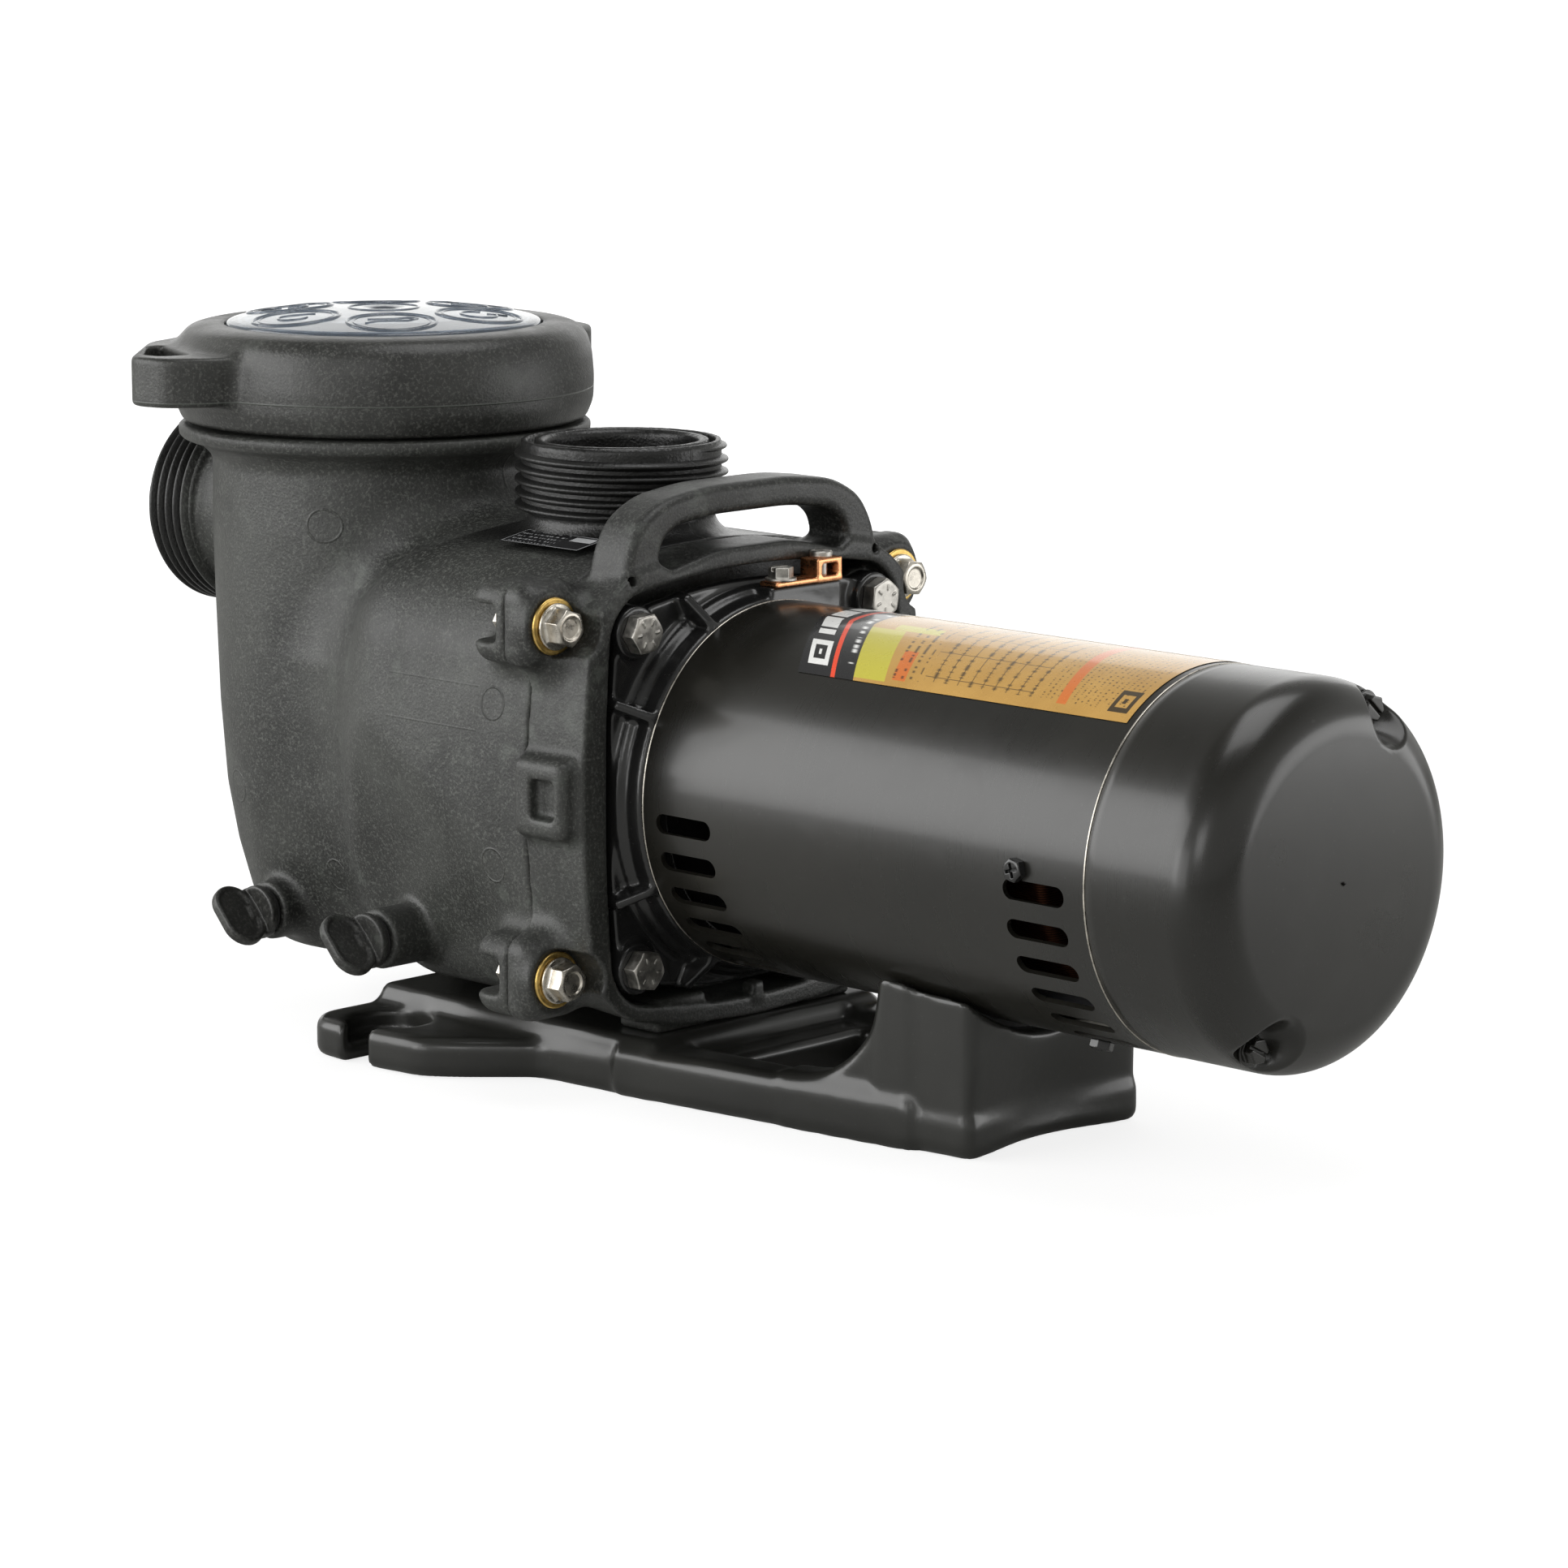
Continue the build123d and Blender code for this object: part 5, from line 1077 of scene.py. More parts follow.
def build_canopy(finishes):
    """Deep-drawn end cup: round shoulder, slightly crowned face, two dimples for its screws."""
    profile = cup_profile()
    steps = 620
    vertices, faces = lathe(profile, steps, (0, 0, 0), "x")
    vertices[:, 0] = dented(vertices[:, 0], vertices[:, 1], vertices[:, 2])
    vertices[:, 2] += SHAFT_Z
    rows = len(profile)
    faces = faces.reshape(steps, rows, 4)[:, :-1].reshape(-1, 4)[:, ::-1]
    ring = [k * rows + rows - 1 for k in range(steps)]
    centre = len(vertices)
    tip = dented(np.array([CANOPY_END_X]), np.array([0.0]), np.array([0.0]))[0]
    vertices = np.vstack([vertices, [tip, 0, SHAFT_Z]])
    closing = [(ring[k], ring[(k + 1) % steps], centre) for k in range(steps)]
    piece = mesh_piece("canopy_cup", vertices, faces.tolist() + closing, "pump", "shell_paint", finishes,
                       replaces=("canopy",))
    wall = piece.modifiers.new("wall", "SOLIDIFY")
    wall.thickness, wall.offset = -CANOPY_WALL * MM, -1
    apply_modifiers(piece)


def apply_modifiers(piece):
    """Makes a piece the plain mesh that its modifiers give."""
    bpy.context.view_layer.update()
    ready = piece.evaluated_get(bpy.context.evaluated_depsgraph_get())
    result = bpy.data.meshes.new_from_object(ready)
    result.name = piece.name
    piece.modifiers.clear()
    piece.data = result
    result.shade_smooth()


# ---- labels --------------------------------------------------------------------------------------
MOTOR_LABEL = (173.0, 96.0)
PUMP_LABEL = (44.0, 16.0)


def label_grid(columns, rows, place):
    """A sheet of quads with its (0 to 1) coordinates, laid where place says."""
    vertices, faces, coordinates = [], [], []
    for i in range(columns + 1):
        for k in range(rows + 1):
            s, t = i / columns, k / rows
            vertices.append(place(s, t))
            coordinates.append((s, t))
    for i in range(columns):
        for k in range(rows):
            a = i * (rows + 1) + k
            faces.append((a, a + rows + 1, a + rows + 2, a + 1))
    return vertices, faces, coordinates


def with_map(piece, coordinates):
    layer = piece.data.uv_layers.new(name="label_map")
    for loop in piece.data.loops:
        layer.data[loop.index].uv = coordinates[loop.vertex_index]
    return piece


def label_space(f, wide, high):
    """Label coordinates in millimetres from its lower front corner."""
    at = f.node("ShaderNodeUVMap", {"uv_map": "label_map"}).out(0)
    split = f.node("ShaderNodeSeparateXYZ", None, {0: at})
    return split.out("X") * wide, split.out("Y") * high


def inside(u, v, low, high, soft=0.25):
    """1 inside a rectangle of the label."""
    a = u.ramp(low[0], low[0] + soft) * u.ramp(high[0] - soft, high[0], 1.0, 0.0)
    return a * v.ramp(low[1], low[1] + soft) * v.ramp(high[1] - soft, high[1], 1.0, 0.0)


def lettering(f, u, v, pitch, size, seed):
    """Rows of small dark dashes that stand for print, with no letters in them."""
    row = v.repeat(pitch).ramp(0.0, pitch * 0.28, 1.0, 0.0)
    number = (v / pitch).math("FLOOR", v / pitch)
    place = f.node("ShaderNodeCombineXYZ", None, {0: u, 1: number, 2: seed}).out(0)
    return row * f.noise(1.0 / size, 1.0, 0.4, place).ramp(0.50, 0.56)


def motor_label_finish():
    """Gold sheet with a black end, a red stripe, a yellow patch and rows that stand for print."""
    f = Finish("motor_label_print")
    u, v = label_space(f, *MOTOR_LABEL)
    gold = f.mix((0.40, 0.215, 0.045), (0.58, 0.345, 0.09), f.noise(60.0, 3.0))
    slant = u + (v - 10.0) * 0.10
    black_part = slant.ramp(29.0, 29.4, 1.0, 0.0)
    yellow_part = inside(slant, v, (29.0, 1.5), (46.0, 34.0))
    yellow_part = yellow_part.most(inside(slant, v, (40.0, 34.0), (62.0, 40.0)))
    colour = f.mix(gold, (0.52, 0.47, 0.055), yellow_part)
    colour = f.mix(colour, (0.012, 0.012, 0.013), black_part)
    stripe = slant.ramp(16.6, 16.9) * slant.ramp(18.9, 19.2, 1.0, 0.0)
    colour = f.mix(colour, (0.80, 0.07, 0.025), stripe)
    table = inside(u, v, (66.0, 5.0), (122.0, 78.0))
    rules = u.repeat(6.2).ramp(0.0, 0.40, 1.0, 0.0)
    lines = rules.most(v.repeat(15.0).ramp(0.0, 0.35, 1.0, 0.0)) * table
    text = lettering(f, v, u, 6.2, 1.5, 9.0) * table
    heading = lettering(f, v, u, 4.4, 1.8, 3.0) * inside(u, v, (49.0, 4.0), (64.0, 84.0))
    small = lettering(f, v, u, 2.5, 1.0, 5.0) * inside(u, v, (124.0, 5.0), (170.0, 88.0))
    band = inside(slant, v, (134.0, 4.0), (139.0, 84.0)).most(inside(u, v, (50.0, 3.0), (57.0, 20.0)))
    colour = f.mix(colour, (0.62, 0.15, 0.025), band * 0.9)
    ink = lines.most(text).most(small * (1.0 - band)).most(heading)
    colour = f.mix(colour, (0.03, 0.022, 0.012), ink * 0.85)
    plate = inside(u, v, (160.0, 4.0), (170.0, 16.0))
    plate_hole = inside(u, v, (162.0, 6.5), (168.0, 13.5))
    plate_hole = plate_hole * (1.0 - inside(u, v, (164.0, 8.5), (166.0, 11.5)))
    colour = f.mix(colour, (0.05, 0.032, 0.012), plate * (1.0 - plate_hole))
    white_rows = lettering(f, v, slant, 7.5, 2.4, 2.0) * inside(slant, v, (20.4, 6.0), (28.4, 88.0))
    mark = inside(slant, v, (3.5, 5.0), (14.5, 19.0)).most(inside(slant, v, (5.0, 23.0), (13.5, 84.0)))
    mark_hole = inside(slant, v, (5.8, 8.0), (12.2, 16.0))
    mark_hole = mark_hole * (1.0 - inside(slant, v, (8.2, 10.4), (9.8, 13.6)))
    gaps = v.repeat(11.0).ramp(0.6, 1.0) + inside(slant, v, (0.0, 0.0), (30.0, 22.0))
    colour = f.mix(colour, (0.80, 0.80, 0.78), (mark * (1.0 - mark_hole) * gaps.least(1.0)).most(white_rows))
    rough = 0.24 + 0.08 * f.noise(200.0, 3.0)
    normal = f.bump(f.noise(90.0, 2.0), 0.00008, 0.5)
    return f.surface(Base_Color=colour, Roughness=rough, Coat_Weight=0.5, Coat_Roughness=0.08, Normal=normal)


def pump_label_finish():
    """Black plate with a thin light frame and rows that stand for print."""
    f = Finish("pump_label_print")
    u, v = label_space(f, *PUMP_LABEL)
    ink = lettering(f, u, v, 3.2, 0.9, 1.0) * inside(u, v, (2.0, 1.5), (27.0, 14.5))
    ink = ink.most(inside(u, v, (30.0, 9.0), (42.0, 14.0)))
    ink = ink.most(frame_line(u, v, (0.6, 0.6), (43.4, 15.4), 0.35))
    colour = f.mix((0.014, 0.014, 0.015), (0.62, 0.63, 0.64), ink * 0.85)
    return f.surface(Base_Color=colour, Roughness=0.28 + 0.1 * f.noise(300.0, 3.0), Metallic=0.2)


def build_labels():
    """The long sheet wrapped over the shell, and the small plate behind the discharge port."""
    prints = {"motor_sheet": motor_label_finish(), "pump_sheet": pump_label_finish()}
    radius = SHELL_RADIUS + 0.25

    def wrap(s, t):
        angle = math.radians(129.5 - 77.0 * t)
        slant = 11.0 - 20.0 * min(1.0, t / 0.38)
        front, rear = SHELL_X + 46.0 + slant, SHELL_X + 219.0
        x = front + (rear - front) * s
        return x, radius * math.cos(angle), SHAFT_Z + radius * math.sin(angle)

    vertices, faces, coordinates = label_grid(60, 48, wrap)
    piece = mesh_piece("motor_sheet_print", vertices, faces, "pump", "motor_sheet", prints,
                       replaces=("motor_label",))
    with_map(piece, coordinates)

    tilt = math.radians(10.0)

    def plate(s, t):
        along, across = PUMP_LABEL[0] * (s - 0.5), PUMP_LABEL[1] * (t - 0.5)
        return PORT_X + 7.5 + along, -44.5 + across * math.cos(tilt), 208.6 + across * math.sin(tilt)

    vertices, faces, coordinates = label_grid(22, 8, plate)
    piece = mesh_piece("pump_plate_print", vertices, faces, "pump", "pump_sheet", prints,
                       replaces=("pump_label",))
    with_map(piece, coordinates)


# ---- base ----------------------------------------------------------------------------------------
BASE_SIDE = [
    (279, 47), (246, 50), (153, 60.4), (91, 66.3), (70.6, 68.4), (46.6, 92), (33.6, 101.5), (7.2, 104.3),
    (-7.2, 105), (-24.4, 103.5), (-32.4, 94), (-32.4, 60),
]


def base_field(x, y, z):
    """Foot with open slots, two arms to the rear block, and the cradle under the motor."""
    side = both_sides(y)
    outline = outline_field(x, side, round_corners(BASE_SIDE + [(-32.4, -200), (279, -200)], 6.0))
    foot = slab(outline, z, 0, 16.0, 4.5)
    platform = block(x, side, z, (-30, -80, 0), (126.6, 66, 23.6), 5.0)
    body = join(foot, meet(platform, outline, 3.0), 5.0)
    arm = [(108, 68), (252, 52), (252, 36), (108, 44)]
    body = join(body, slab(outline_field(x, side, round_corners(arm, 4.0)), z, 0, 20.0, 5.0), 4.0)
    rear = block(x, side, z, (232.6, -60, 0), (278.6, 60, 68), 7.0)
    sweep = 46.0 - np.hypot(x - 189.0, z - 66.0)
    flank = np.maximum(np.maximum(34.0 - side, x - 250), np.maximum(189.0 - x, sweep))
    flank = meet(flank, z - 68.0, 7.0)
    body = join(body, meet(rear, outline, 6.0), 3.0)
    body = join(body, meet(flank, outline, 5.0), 5.0)
    cradle = meet(np.hypot(y, z - SHAFT_Z) - 73.6, 90.6 - x)
    body = cut(body, cradle, 1.5)
    body = cut(body, block(x, y, z, (144.6, -36, -30), (218.6, 36, 60), 4.0), 3.5)
    body = cut(body, np.sqrt((x - 327.0) ** 2 + (y * 0.8) ** 2 + (z - 16) ** 2) - 56.0, 9.0)
    slot = slab(np.abs(x) - 7.2, side, 88.0, 140.0)
    slot = join(slot, np.hypot(x, side - 88.0) - 7.2)
    body = cut(body, slot, 1.2)
    kidney = meet(np.hypot(x + 2.0, side - 84.0) - 17.0, 7.0 - z, 1.5)
    body = cut(body, kidney, 2.2)
    bolt = np.hypot(x - 108.6, side - 40.0)
    body = cut(body, join(bolt - 4.3, meet(bolt - 9.0, z - 9.0)))
    hollow = block(x, y, z, (-20, -54, -30), (86.6, 54, 12), 3.0)
    body = cut(body, hollow, 1.0)
    return meet(body, -z, 0.6)


def build_base(finishes):
    low, high = (-34.0, -107.5, -1.6), (281.0, 108.0, 71.5)
    field_piece("base_moulding", base_field, low, high, 1.5, "pump", "base_plastic", finishes,
                ("base",), parting=(90.0,))


# ---- fasteners -----------------------------------------------------------------------------------
def hexagon(u, v, across_flats):
    """Regular hexagon, flats left and right."""
    half = across_flats / 2
    lean = math.radians(60)
    first = np.abs(u * math.cos(lean) + v * math.sin(lean))
    second = np.abs(u * math.cos(lean) - v * math.sin(lean))
    return np.maximum(np.abs(u), np.maximum(first, second)) - half


def flange_head_field(x, y, z):
    """Hex washer head: domed skirt, six flats, chamfered top with a shallow dish. +X is outwards."""
    across = np.hypot(y, z)
    skirt = meet(across - 9.0, np.abs(x - 0.9) - 0.9 + 0.10 * np.maximum(across - 6.6, 0), 0.4)
    head = meet(hexagon(y, z, 13.0), x - 9.0, 0.5)
    chamfer = (x - 9.0 + 0.55 * (across - 5.7)) * 0.87
    head = meet(meet(head, chamfer, 0.3), -x)
    body = join(skirt, head, 1.0)
    return cut(body, meet(across - 4.3, 8.15 - x, 0.5), 0.4)


def plain_head_field(x, y, z):
    """Motor bolt head: wide hexagon with a turned chamfer and six faint radial marks."""
    across = np.hypot(y, z)
    chamfer = (x - 6.4 + 0.5 * (across - 6.6)) * 0.88
    head = meet(meet(hexagon(y, z, 14.3), chamfer, 0.3), x - 6.2, 0.3)
    head = meet(head, -x)
    turn = np.arctan2(z, y)
    mark = meet(np.abs(((turn / (math.pi / 3)) % 1) - 0.5) * across - 0.33, np.abs(across - 4.6) - 1.1)
    return join(head, meet(mark, np.abs(x - 6.1) - 0.4), 0.15)


def pan_hex_field(x, y, z):
    """Slotted hex screw with a small skirt."""
    across = np.hypot(y, z)
    skirt = meet(across - 6.2, np.abs(x - 0.6) - 0.6, 0.3)
    head = meet(hexagon(y, z, 8.6), np.abs(x - 2.7) - 2.7, 0.4)
    body = join(skirt, head, 0.5)
    lean_y = y * math.cos(0.6) + z * math.sin(0.6)
    lean_z = z * math.cos(0.6) - y * math.sin(0.6)
    slot = np.maximum(np.abs(lean_y) - 0.65, np.abs(lean_z) - 8.0)
    return cut(body, meet(slot, 3.7 - x), 0.2)


def small_cross_field(x, y, z):
    """Cross-recess hex screw on the shell."""
    across = np.hypot(y, z)
    head = meet(hexagon(y, z, 7.8), np.abs(x - 1.8) - 1.8, 0.4)
    head = meet(head, (x - 3.7 + 0.5 * (across - 3.2)) * 0.88, 0.2)
    cross = meet(np.minimum(np.abs(y) - 0.55, np.abs(z) - 0.55), across - 2.7)
    return cut(head, meet(cross, 2.0 - x), 0.2)


def washer_field(x, y, z):
    """Flat washer, its edges rounded. +X is outwards."""
    across = np.hypot(y, z)
    return cut(meet(across - 11.0, np.abs(x - 0.8) - 0.8, 0.35), across - 4.4, 0.2)


def clamp_screw_field(x, y, z):
    """Slotted cheese-head clamp screw."""
    across = np.hypot(y, z)
    head = join(meet(across - 4.4, np.abs(x - 1.3) - 1.3, 0.5), slab(across - 2.4, x, -7.0, 0.5))
    return cut(head, meet(np.abs(y) - 0.6, 1.5 - x), 0.2)


def instanced(name, source, points, directions, turns, body, slot, finishes, replaces=()):
    """One modelled head set at each point, facing its direction, by Geometry Nodes."""
    seeds = bpy.data.meshes.new(name + "_points")
    seeds.from_pydata([[c * MM for c in p] for p in points], [], [])
    turn = seeds.attributes.new("facing", "FLOAT_VECTOR", "POINT")
    angles = []
    for direction, spin in zip(directions, turns):
        facing = Vector(direction).to_track_quat("X", "Z").to_matrix()
        angles += list((facing @ Matrix.Rotation(spin, 3, "X")).to_euler())
    turn.data.foreach_set("vector", angles)
    piece = bpy.data.objects.new(name, seeds)
    bpy.context.scene.collection.objects.link(piece)
    group = bpy.data.node_groups.new(name + "_nodes", "GeometryNodeTree")
    group.interface.new_socket("Geometry", in_out="INPUT", socket_type="NodeSocketGeometry")
    group.interface.new_socket("Head", in_out="INPUT", socket_type="NodeSocketObject")
    group.interface.new_socket("Finish", in_out="INPUT", socket_type="NodeSocketMaterial")
    group.interface.new_socket("Geometry", in_out="OUTPUT", socket_type="NodeSocketGeometry")
    nodes, links = group.nodes, group.links
    entry, leave = nodes.new("NodeGroupInput"), nodes.new("NodeGroupOutput")
    info = nodes.new("GeometryNodeObjectInfo")
    facing = nodes.new("GeometryNodeInputNamedAttribute")
    facing.data_type = "FLOAT_VECTOR"
    facing.inputs["Name"].default_value = "facing"
    place = nodes.new("GeometryNodeInstanceOnPoints")
    real = nodes.new("GeometryNodeRealizeInstances")
    paint = nodes.new("GeometryNodeSetMaterial")
    links.new(entry.outputs["Head"], info.inputs["Object"])
    links.new(entry.outputs["Geometry"], place.inputs["Points"])
    links.new(info.outputs["Geometry"], place.inputs["Instance"])
    links.new(facing.outputs["Attribute"], place.inputs["Rotation"])
    links.new(place.outputs["Instances"], real.inputs["Geometry"])
    links.new(real.outputs["Geometry"], paint.inputs["Geometry"])
    links.new(entry.outputs["Finish"], paint.inputs["Material"])
    links.new(paint.outputs["Geometry"], leave.inputs["Geometry"])
    modifier = piece.modifiers.new("place_heads", "NODES")
    modifier.node_group = group
    for item in group.interface.items_tree:
        if item.in_out == "INPUT" and item.name in ("Head", "Finish"):
            modifier[item.identifier] = source if item.name == "Head" else finishes[slot]
    bpy.context.view_layer.update()
    result = bpy.data.meshes.new_from_object(piece.evaluated_get(bpy.context.evaluated_depsgraph_get()))
    result.name = name
    piece.modifiers.clear()
    piece.data = result
    result.shade_smooth()
    bpy.data.objects.remove(source)
    return adopt(piece, body, replaces)


def head_source(name, field, reach, step):
    """A single head at the origin, used as the instance."""
    low, high = (-reach[0], -reach[2], -reach[2]), (reach[1], reach[2], reach[2])
    vertices, quads, _ = field_mesh(field, low, high, step)
    mesh = bpy.data.meshes.new(name)
    mesh.from_pydata((vertices * MM).tolist(), [], quads.tolist())
    piece = bpy.data.objects.new(name, mesh)
    bpy.context.scene.collection.objects.link(piece)
    return piece


def build_fasteners(finishes):
    """Every head that shows, each kind set on its points. The turns differ as hand-tightened heads do."""
    east = (1, 0, 0)
    corners = [(y, z) for y in (-BOLT_Y, BOLT_Y) for z in BOLT_Z]
    seat = BOSS_X + 1.6
    source = head_source("flange_head", flange_head_field, (0.8, 10.0, 10.0), 0.32)
    points = [(seat, y, z) for y, z in corners]
    instanced("housing_bolt_heads", source, points, [east] * 4, [0.21, 0.75, 0.4, 1.1], "pump", "stainless",
              finishes, ("housing_bolts",))
    source = head_source("washer", washer_field, (0.8, 2.4, 12.0), 0.4)
    points = [(BOSS_X, y, z) for y, z in corners]
    instanced("housing_washer_discs", source, points, [east] * 4, [0, 1, 2, 3], "pump", "yellow_zinc",
              finishes, ("housing_washers",))
    square = [(y * MOTOR_BOLT, SHAFT_Z + z * MOTOR_BOLT) for y in (-1, 1) for z in (-1, 1)]
    source = head_source("plain_head", plain_head_field, (0.8, 7.4, 9.0), 0.32)
    points = [(MOUNT_X + 9.0, y, z) for y, z in square]
    instanced("flange_bolt_heads", source, points, [east] * 4, [0.35, 0.6, 0.1, 0.9], "pump", "zinc_steel",
              finishes, ("flange_bolts",))
    source = head_source("canopy_head", pan_hex_field, (0.8, 6.4, 7.2), 0.28)
    points = [(DIMPLE_X, y, SHAFT_Z + z) for y, z in DIMPLES]
    instanced("canopy_screw_heads", source, points, [east] * 2, [0.26, 0.5], "pump", "shell_paint",
              finishes, ("canopy_screws",))
    source = head_source("shell_head", small_cross_field, (0.8, 4.6, 4.8), 0.22)
    points, ways = [], []
    for angle in (178.0, 250.0):
        way = (0, math.cos(math.radians(angle)), math.sin(math.radians(angle)))
        points.append((SHELL_X + 191, way[1] * 71.5, SHAFT_Z + way[2] * 71.5))
        ways.append(way)
    instanced("shell_screw_heads", source, points, ways, [0.3, 0.7], "pump", "black_casting",
              finishes, ("shell_screws",))


# ---- drain plugs ---------------------------------------------------------------------------------
def plug_field(u, v, w):
    """Wing plug. u is across, v is up, w is outwards from the seat."""
    across = np.hypot(u, v)
    plug = join(slab(across - 11.0, w, 0, 3.4, 0.9), slab(across - 6.8, w, -13.6, 0.5, 0.5), 0.8)
    lean = math.radians(-47.0)
    along = u * math.cos(lean) + v * math.sin(lean)
    thick = v * math.cos(lean) - u * math.sin(lean)
    straight = np.maximum(np.abs(along) - 4.6, 0)
    stadium = np.hypot(straight, w - 12.2) - 8.9
    stadium = np.minimum(stadium, np.maximum(np.abs(along) - 11.0, np.abs(w - 6.0) - 6.0))
    wing = slab(stadium, thick, -1.25, 1.25, 0.5)
    rim = slab(np.abs(np.hypot(straight, w - 12.2) - 7.9) - 1.1, thick, -2.3, 2.3, 0.9)
    rim = meet(rim, 2.0 - w, 0.5)
    web = meet(np.abs(along) - 3.0, np.abs(thick) - 2.1, 0.8)
    web = meet(web, np.abs(w - 4.5) - 2.5, 0.5)
    return join(join(join(plug, wing, 1.2), rim, 0.8), web, 1.0)


def build_drains(finishes):
    for name, node, body, place in (
        ("pot_drain_wing", "drain_plug_pot", "pot_drain_plug", POT_DRAIN),
        ("volute_drain_wing", "drain_plug_volute", "volute_drain_plug", VOLUTE_DRAIN),
    ):
        px, py, pz = place

        def field(x, y, z):
            return plug_field(x - px, z - pz, py - 2.6 - y)

        low, high = (px - 16, py - 25.5, pz - 16), (px + 16, py + 12.5, pz + 16)
        field_piece(name, field, low, high, 0.55, body, "plug_plastic", finishes, (node,))


# ---- bonding lug ---------------------------------------------------------------------------------
LUG_SEAT_Z = SHAFT_Z + PAD_TOP
LUG_X = SHELL_X - 4.0


def lug_field(x, y, z):
    """Bent copper strap with a box-shaped wire clamp."""
    u, w = y, z - LUG_SEAT_Z
    wide = np.abs(x - LUG_X) - 5.0
    strap = meet(block(x, u, w, (LUG_X - 5, 0, 0), (LUG_X + 5, 36, 2), 0.6), wide, 0.5)
    cage = slab(np.maximum(np.abs(u - 29.25) - 6.75, np.abs(w - 4.5) - 4.5), x, LUG_X - 5, LUG_X + 5, 0.5)
    channel = meet(np.abs(u - 29.25) - 4.25, np.abs(w - 4.5) - 2.5, 1.2)
    cage = cut(cage, channel, 0.4)
    body = join(strap, cage, 0.8)
    body = cut(body, meet(np.hypot(x - LUG_X, u - 7.0) - 2.8, np.abs(w - 1) - 3), 0.3)
    return cut(body, meet(np.hypot(x - LUG_X, u - 29.2) - 2.6, 5.0 - w), 0.3)


def build_lug(finishes):
    low, high = (LUG_X - 6.5, -1.5, LUG_SEAT_Z - 1.2), (LUG_X + 6.5, 37.8, LUG_SEAT_Z + 10.4)
    field_piece("lug_strap", lug_field, low, high, 0.42, "pump", "copper_lug", finishes,
                ("ground_lug",))
    top = LUG_SEAT_Z + 2.0
    up = (0, 0, 1)
    source = head_source("fixing_head", pan_hex_field, (0.8, 6.4, 7.2), 0.28)
    instanced("lug_fixing_head", source, [(LUG_X, 7.0, top)], [up], [0.9], "pump", "zinc_steel",
              finishes, ("ground_lug_screws",))
    source = head_source("clamp_head", clamp_screw_field, (7.5, 3.2, 5.2), 0.3)
    instanced("lug_clamp_screw", source, [(LUG_X, 29.2, top + 7.0)], [up], [0.5], "pump", "zinc_steel",
              finishes)


# ---- stage ---------------------------------------------------------------------------------------
def add_light(name, place, target, size, power):
    """A rectangular lamp that faces a target."""
    data = bpy.data.lights.new(name, "AREA")
    data.shape = "RECTANGLE"
    data.size, data.size_y = size
    data.energy = power
    lamp = bpy.data.objects.new(name, data)
    bpy.context.scene.collection.objects.link(lamp)
    lamp.location = place
    lamp.rotation_euler = (Vector(target) - Vector(place)).to_track_quat("-Z", "Y").to_euler()
    return lamp


def build_world():
    """White to the eye, light grey walls under a dim ceiling to reflections."""
    world = bpy.data.worlds.new("studio")
    bpy.context.scene.world = world
    world.use_nodes = True
    tree = world.node_tree
    dim = tree.nodes["Background"]
    dim.inputs["Color"].default_value = (1.0, 1.0, 0.97, 1.0)
    up = tree.nodes.new("ShaderNodeSeparateXYZ")
    tree.links.new(tree.nodes.new("ShaderNodeTexCoord").outputs["Generated"], up.inputs[0])
    walls = tree.nodes.new("ShaderNodeMapRange")
    for index, value in enumerate((0.45, 0.85, WALL_GLOW, CEILING_GLOW), start=1):
        walls.inputs[index].default_value = value
    tree.links.new(up.outputs["Z"], walls.inputs[0])
    tree.links.new(walls.outputs[0], dim.inputs["Strength"])
    seen = tree.nodes.new("ShaderNodeBackground")
    seen.inputs["Color"].default_value = (1, 1, 1, 1)
    seen.inputs["Strength"].default_value = 1.02
    path = tree.nodes.new("ShaderNodeLightPath")
    both = tree.nodes.new("ShaderNodeMixShader")
    tree.links.new(path.outputs["Is Camera Ray"], both.inputs[0])
    tree.links.new(dim.outputs[0], both.inputs[1])
    tree.links.new(seen.outputs[0], both.inputs[2])
    tree.links.new(both.outputs[0], tree.nodes["World Output"].inputs[0])


def floor_finish():
    """White paper to the eye, a little brighter far off, and plain grey in the object's reflections."""
    f = Finish("floor_paper")
    x, y, _ = f.axes()
    far = (x * x + y * y).ramp(0.3, 4.0, 0.0, 1.0)
    glow = f.mix((0.80, 0.80, 0.80), (1.05, 1.05, 1.05), far)
    values = {"Base Color": (0.29, 0.29, 0.29, 1), "Roughness": 0.9, "Emission Color": glow}
    values["Emission Strength"] = 1.0
    seen = f.node("ShaderNodeBsdfPrincipled", None, values)
    grey = f.node("ShaderNodeBsdfDiffuse", None, {"Color": (0.58, 0.58, 0.565, 1)})
    path = f.node("ShaderNodeLightPath").out("Is Camera Ray")
    both = f.node("ShaderNodeMixShader", None, {0: path})
    f.tree.links.new(grey.node.outputs[0], both.node.inputs[1])
    f.tree.links.new(seen.node.outputs[0], both.node.inputs[2])
    end = f.node("ShaderNodeOutputMaterial")
    f.tree.links.new(both.node.outputs[0], end.node.inputs[0])
    return f.material


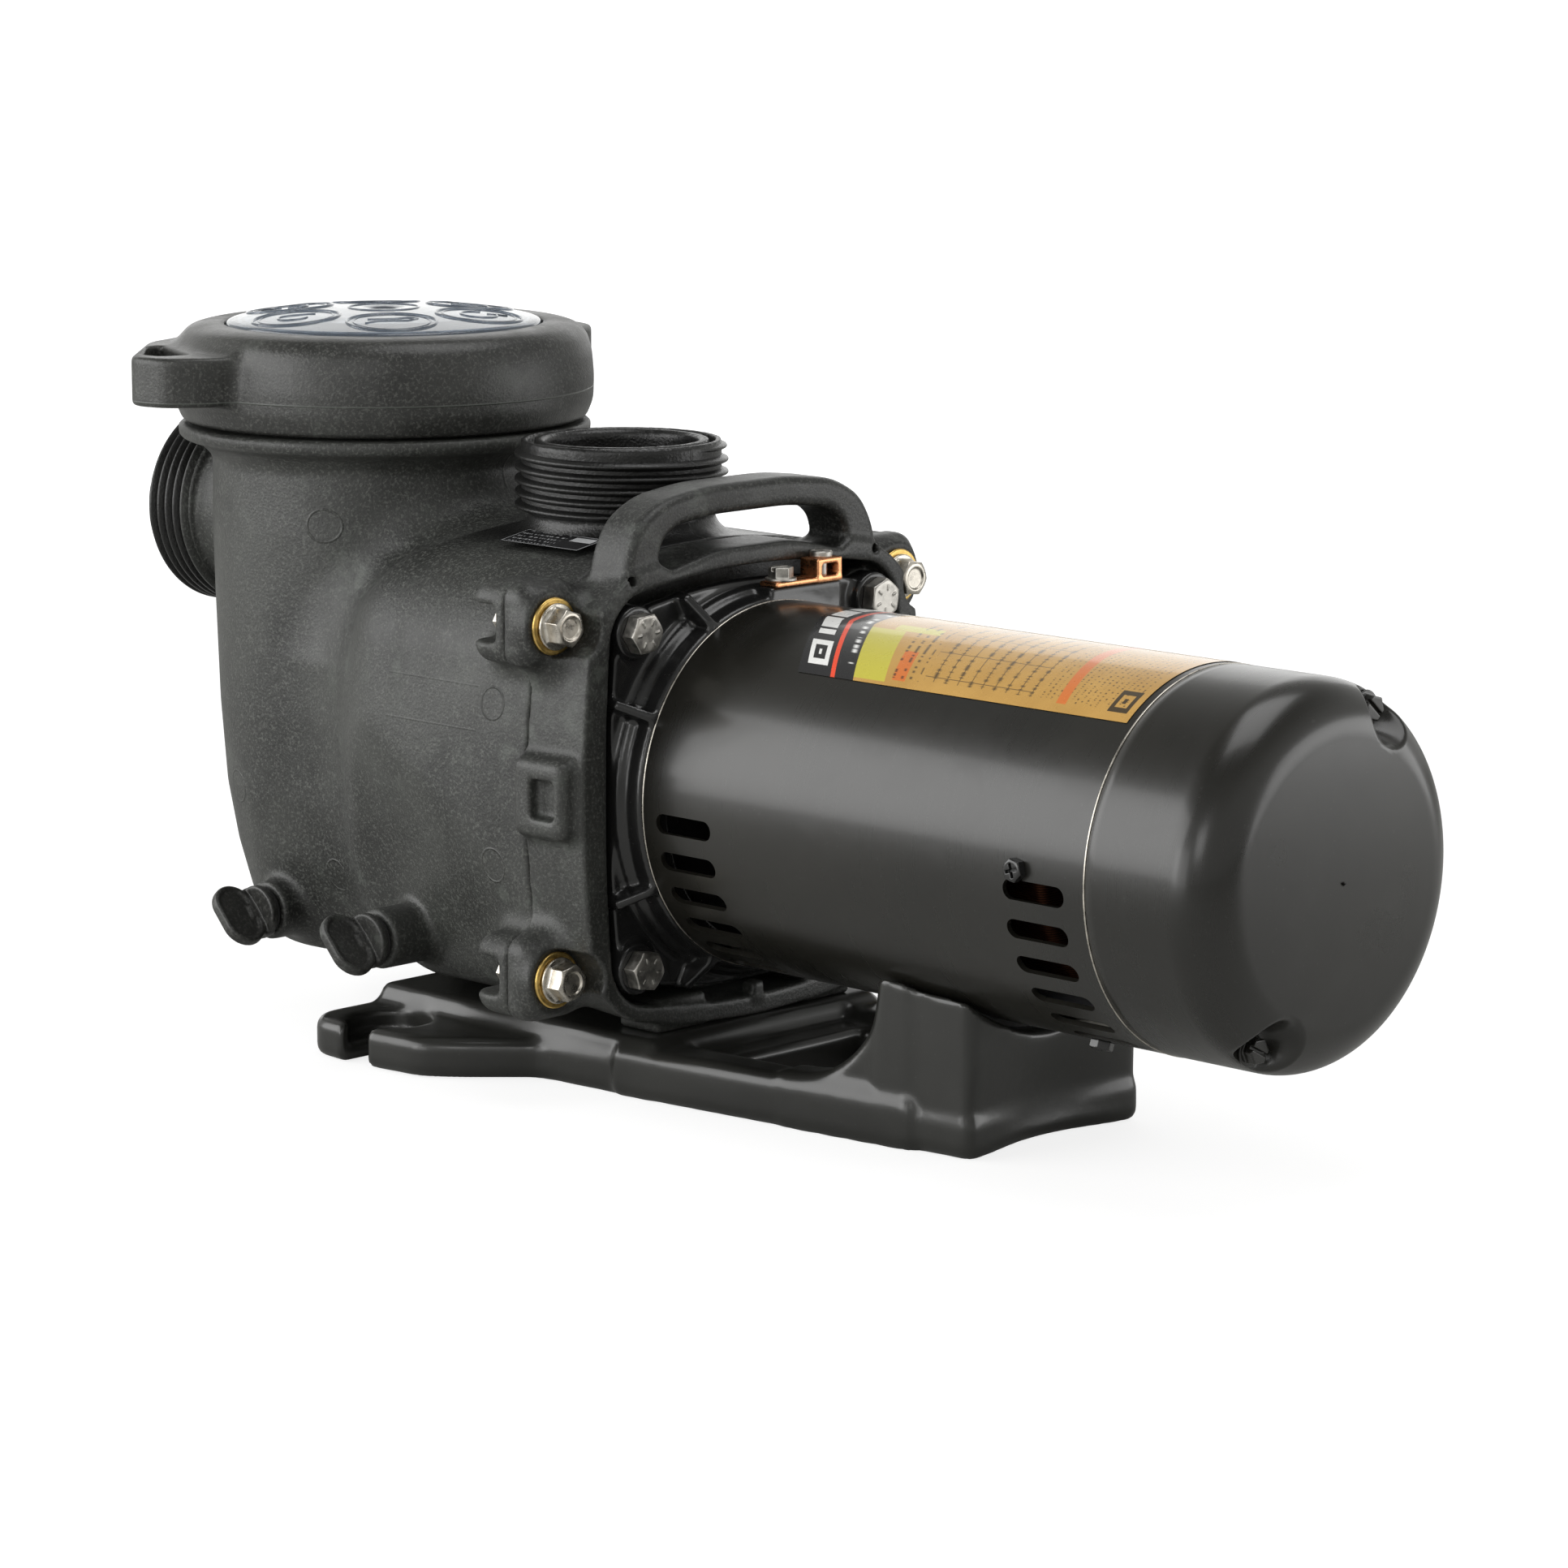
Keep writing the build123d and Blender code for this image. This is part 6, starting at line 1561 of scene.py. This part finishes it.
LIGHTS = {
    # name: place, target, (width, height), brightness
    "left_softbox": ((-0.90, -1.30, 0.68), (0.1, 0, 0.14), (2.1, 1.2), 3.2),
    "front_softbox": ((0.0, -2.3, 0.42), (0.0, 0, 0.14), (1.2, 0.8), 2.0),
    "back_card": ((-1.45, 1.45, 0.75), (0.0, 0, 0.2), (2.4, 1.3), 0.95),
    "top_softbox": ((0.35, 0.15, 1.5), (0.15, 0, 0.15), (1.1, 0.9), 2.6),
    "right_card": ((1.05, 0.78, 0.23), (0.41, 0, 0.13), (0.9, 0.42), 2.6),
    "front_strip": ((1.2, -1.9, 0.9), (0.2, 0, 0.12), (0.6, 0.6), 3.0),
}
WALL_GLOW = 0.62
CEILING_GLOW = 0.16


def build_stage():
    build_world()
    mesh = bpy.data.meshes.new("floor")
    mesh.from_pydata([(-9, -9, 0), (9, -9, 0), (9, 9, 0), (-9, 9, 0)], [], [(0, 1, 2, 3)])
    mesh.materials.append(floor_finish())
    floor = bpy.data.objects.new("floor", mesh)
    bpy.context.scene.collection.objects.link(floor)
    for name, (place, target, size, brightness) in LIGHTS.items():
        lamp = add_light(name, place, target, size, brightness * math.pi * size[0] * size[1])
        lamp.visible_camera = False
    bpy.context.scene.view_settings.view_transform = "Standard"


def build_camera():
    data = bpy.data.cameras.new("camera")
    data.lens = 125.42
    data.sensor_width = 36.0
    data.shift_x, data.shift_y = 0.0041, -0.0011
    data.clip_end = 50.0
    camera = bpy.data.objects.new("camera", data)
    bpy.context.scene.collection.objects.link(camera)
    camera.location = (1.5952, -1.4815, 0.4952)
    camera.rotation_euler = (math.radians(90 - 10.29), 0, math.radians(44.65))
    bpy.context.scene.camera = camera


def main():
    """Builds every piece, then the stage and the camera."""
    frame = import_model()
    finishes = make_finishes()
    dress(frame, finishes)
    build_wet_end(finishes)
    build_lid(finishes)
    build_bracket(finishes)
    build_end_bell(finishes)
    polished_shell(frame, finishes)
    build_canopy(finishes)
    build_labels()
    build_base(finishes)
    build_fasteners(finishes)
    build_drains(finishes)
    build_lug(finishes)
    bare_band("shell_front_edge", finishes, 71.5, SHELL_X, 0.5, 0.35)
    bare_band("shell_rear_edge", finishes, 71.5, SHELL_X + SHELL_LENGTH, 0.45, 0.3)
    build_stage()
    build_camera()


main()
